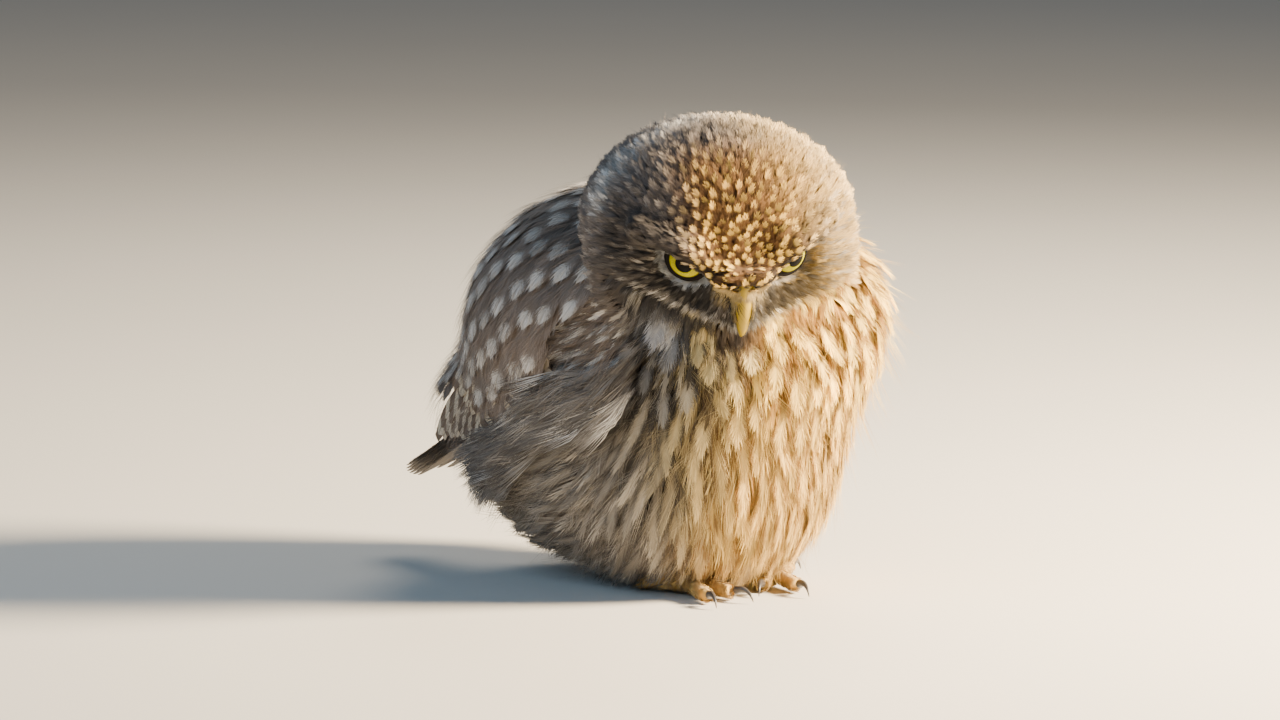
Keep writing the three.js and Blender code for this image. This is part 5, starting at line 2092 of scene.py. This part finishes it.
class OWL_OT_plumage(bpy.types.Operator):
    """Lay the soft plumage over the skin, tract by tract"""

    bl_idname = "owl.plumage"
    bl_label = "Soft plumage"

    def execute(self, context):
        names = ["face_feathers", "head_feathers", "breast_feathers"]
        names += ["belly_feathers", "mantle_feathers", "foot_feathers"]
        for obj in make_plumage(names) + make_lances():
            finish_piece(obj)
        return {"FINISHED"}


class OWL_OT_hairs(bpy.types.Operator):
    """Add the loose hairs over the coat and the bristles over the bill's root"""

    bl_idname = "owl.hairs"
    bl_label = "Loose hairs and bristles"

    def execute(self, context):
        finish_piece(make_loose_hairs())
        finish_piece(make_flank_fluff())
        finish_piece(make_bristles())
        return {"FINISHED"}


class OWL_OT_eyes(bpy.types.Operator):
    """Make both eyeballs and the lids round them"""

    bl_idname = "owl.eyes"
    bl_label = "Eyes and lids"

    def execute(self, context):
        for word, side in SIDES.items():
            finish_piece(make_eye(word, side), replaced=[f"eye_{word}"])
        finish_piece(make_lids())
        return {"FINISHED"}


class OWL_OT_bill(bpy.types.Operator):
    """Make the upper and the lower bill"""

    bl_idname = "owl.bill"
    bl_label = "Bill"

    def execute(self, context):
        upper, lower = make_bill()
        finish_piece(upper, replaced=["beak_upper"])
        finish_piece(lower, replaced=["beak_lower"])
        return {"FINISHED"}


class OWL_OT_claws(bpy.types.Operator):
    """Make the eight claws"""

    bl_idname = "owl.claws"
    bl_label = "Claws"

    def execute(self, context):
        for word, side in SIDES.items():
            for name in TOES:
                finish_piece(make_claw(word, side, name), replaced=[f"claw_{word}_{name}"])
        return {"FINISHED"}


class OWL_OT_wings(bpy.types.Operator):
    """Lay the folded wings' flight feathers and coverts"""

    bl_idname = "owl.wings"
    bl_label = "Wings"

    def execute(self, context):
        for word, side in SIDES.items():
            flight, coverts = make_wing(word, side)
            finish_piece(flight, replaced=[f"wing_{word}"])
            finish_piece(coverts)
        return {"FINISHED"}


class OWL_OT_tail(bpy.types.Operator):
    """Lay the tail's feathers"""

    bl_idname = "owl.tail"
    bl_label = "Tail"

    def execute(self, context):
        finish_piece(make_tail(), replaced=["tail"])
        return {"FINISHED"}


CAMERA_AZIMUTH = -52
CAMERA_ELEVATION = 8
CAMERA_DISTANCE = 2.3
CAMERA_LENS = 200
CAMERA_SENSOR = 36
CAMERA_RANGE = (0.1, 50)
AIM = (-0.03387, 0.07419)
LIT_MIDDLE = Vector((0, 0, 0.08))
FLOOR_SIZE = 6000

# Each lamp's place to the right, towards the camera and above, in metres, its size, power and colour
LAMPS = {
    "Key": ((0.8, 0.1, 0.4), 0.26, 76, (1.0, 0.8, 0.54)),
    "Fill": ((-0.8, 0.6, 0.7), 0.9, 5.8, (0.48, 0.72, 1.0)),
    "Rim": ((0.2, -0.8, 0.7), 0.4, 6, (1.0, 0.92, 0.8)),
}
SKY = (0.62, 0.79, 1.0, 1)
SKY_STRENGTH = 0.16


def camera_axes():
    a = math.radians(CAMERA_AZIMUTH)
    e = math.radians(CAMERA_ELEVATION)
    back = Vector((math.sin(a) * math.cos(e), -math.cos(a) * math.cos(e), math.sin(e)))
    right = Vector((math.cos(a), math.sin(a), 0))
    return right, back.cross(right), back


def lamp(name, place, size, power, tinted):
    data = bpy.data.lights.new(name, "AREA")
    data.shape = "DISK"
    data.size = size
    data.energy = power
    data.color = tinted
    obj = bpy.data.objects.new(name, data)
    obj.location = place
    obj.rotation_euler = (place - LIT_MIDDLE).to_track_quat("Z", "Y").to_euler()
    bpy.context.scene.collection.objects.link(obj)


class OWL_OT_stage(bpy.types.Operator):
    """Set the pale floor, the soft lights and the camera"""

    bl_idname = "owl.stage"
    bl_label = "Studio"

    def execute(self, context):
        scene = context.scene
        right, up, back = camera_axes()
        feet = Vector(FRAME_SHIFT * MM)
        target = feet + right * AIM[0] + up * AIM[1]
        data = bpy.data.cameras.new("Camera")
        data.lens = CAMERA_LENS
        data.sensor_width = CAMERA_SENSOR
        data.clip_start, data.clip_end = CAMERA_RANGE
        camera = bpy.data.objects.new("Camera", data)
        camera.location = target + back * CAMERA_DISTANCE
        camera.rotation_euler = back.to_track_quat("Z", "Y").to_euler()
        scene.collection.objects.link(camera)
        scene.camera = camera
        level_back = Vector((back.x, back.y, 0)).normalized()
        for name, ((aside, nearer, higher), size, power, tinted) in LAMPS.items():
            place = LIT_MIDDLE + right * aside + level_back * nearer + Vector((0, 0, higher))
            lamp(name, place, size, power, tinted)
        world = bpy.data.worlds.new("Studio")
        world.use_nodes = True
        sky = world.node_tree.nodes["Background"]
        sky.inputs["Color"].default_value = SKY
        sky.inputs["Strength"].default_value = SKY_STRENGTH
        scene.world = world
        bm = bmesh.new()
        bmesh.ops.create_grid(bm, x_segments=1, y_segments=1, size=FLOOR_SIZE)
        floor = object_from(bm, "floor", smooth_faces=False)
        material, s, shader = principled("Floor")
        tone = s.step(s.noise(s.place(), 3.0, 3), 0.2, 0.8)
        base = tint("floor")
        s.fill(shader, {"Base Color": s.mixed(tone, paint(base, 0.97), paint(base)), "Roughness": 0.9})
        floor.data.materials.append(material)
        return {"FINISHED"}


class OWL_PT_panel(bpy.types.Panel):
    """The owl's pieces, in the order they are built"""

    bl_idname = "OWL_PT_panel"
    bl_label = "Little Owl"
    bl_space_type = "VIEW_3D"
    bl_region_type = "UI"
    bl_category = "Owl"

    def draw(self, context):
        for operator in OPERATORS:
            self.layout.operator(operator.bl_idname)
        for settings in (context.scene.owl_sizes, context.scene.owl_colours):
            for name in settings.__annotations__:
                self.layout.prop(settings, name)


OPERATORS = [
    OWL_OT_skin,
    OWL_OT_plumage,
    OWL_OT_hairs,
    OWL_OT_wings,
    OWL_OT_tail,
    OWL_OT_eyes,
    OWL_OT_bill,
    OWL_OT_claws,
    OWL_OT_stage,
]
CLASSES = [OwlSizes, OwlColours, *OPERATORS, OWL_PT_panel]


def register():
    for item in CLASSES:
        bpy.utils.register_class(item)
    bpy.types.Scene.owl_sizes = bpy.props.PointerProperty(type=OwlSizes)
    bpy.types.Scene.owl_colours = bpy.props.PointerProperty(type=OwlColours)


def unregister():
    del bpy.types.Scene.owl_colours
    del bpy.types.Scene.owl_sizes
    for item in reversed(CLASSES):
        bpy.utils.unregister_class(item)


def main():
    register()
    for operator in OPERATORS:
        group_name, name = operator.bl_idname.split(".")
        getattr(getattr(bpy.ops, group_name), name)()


if __name__ == "__main__":
    main()
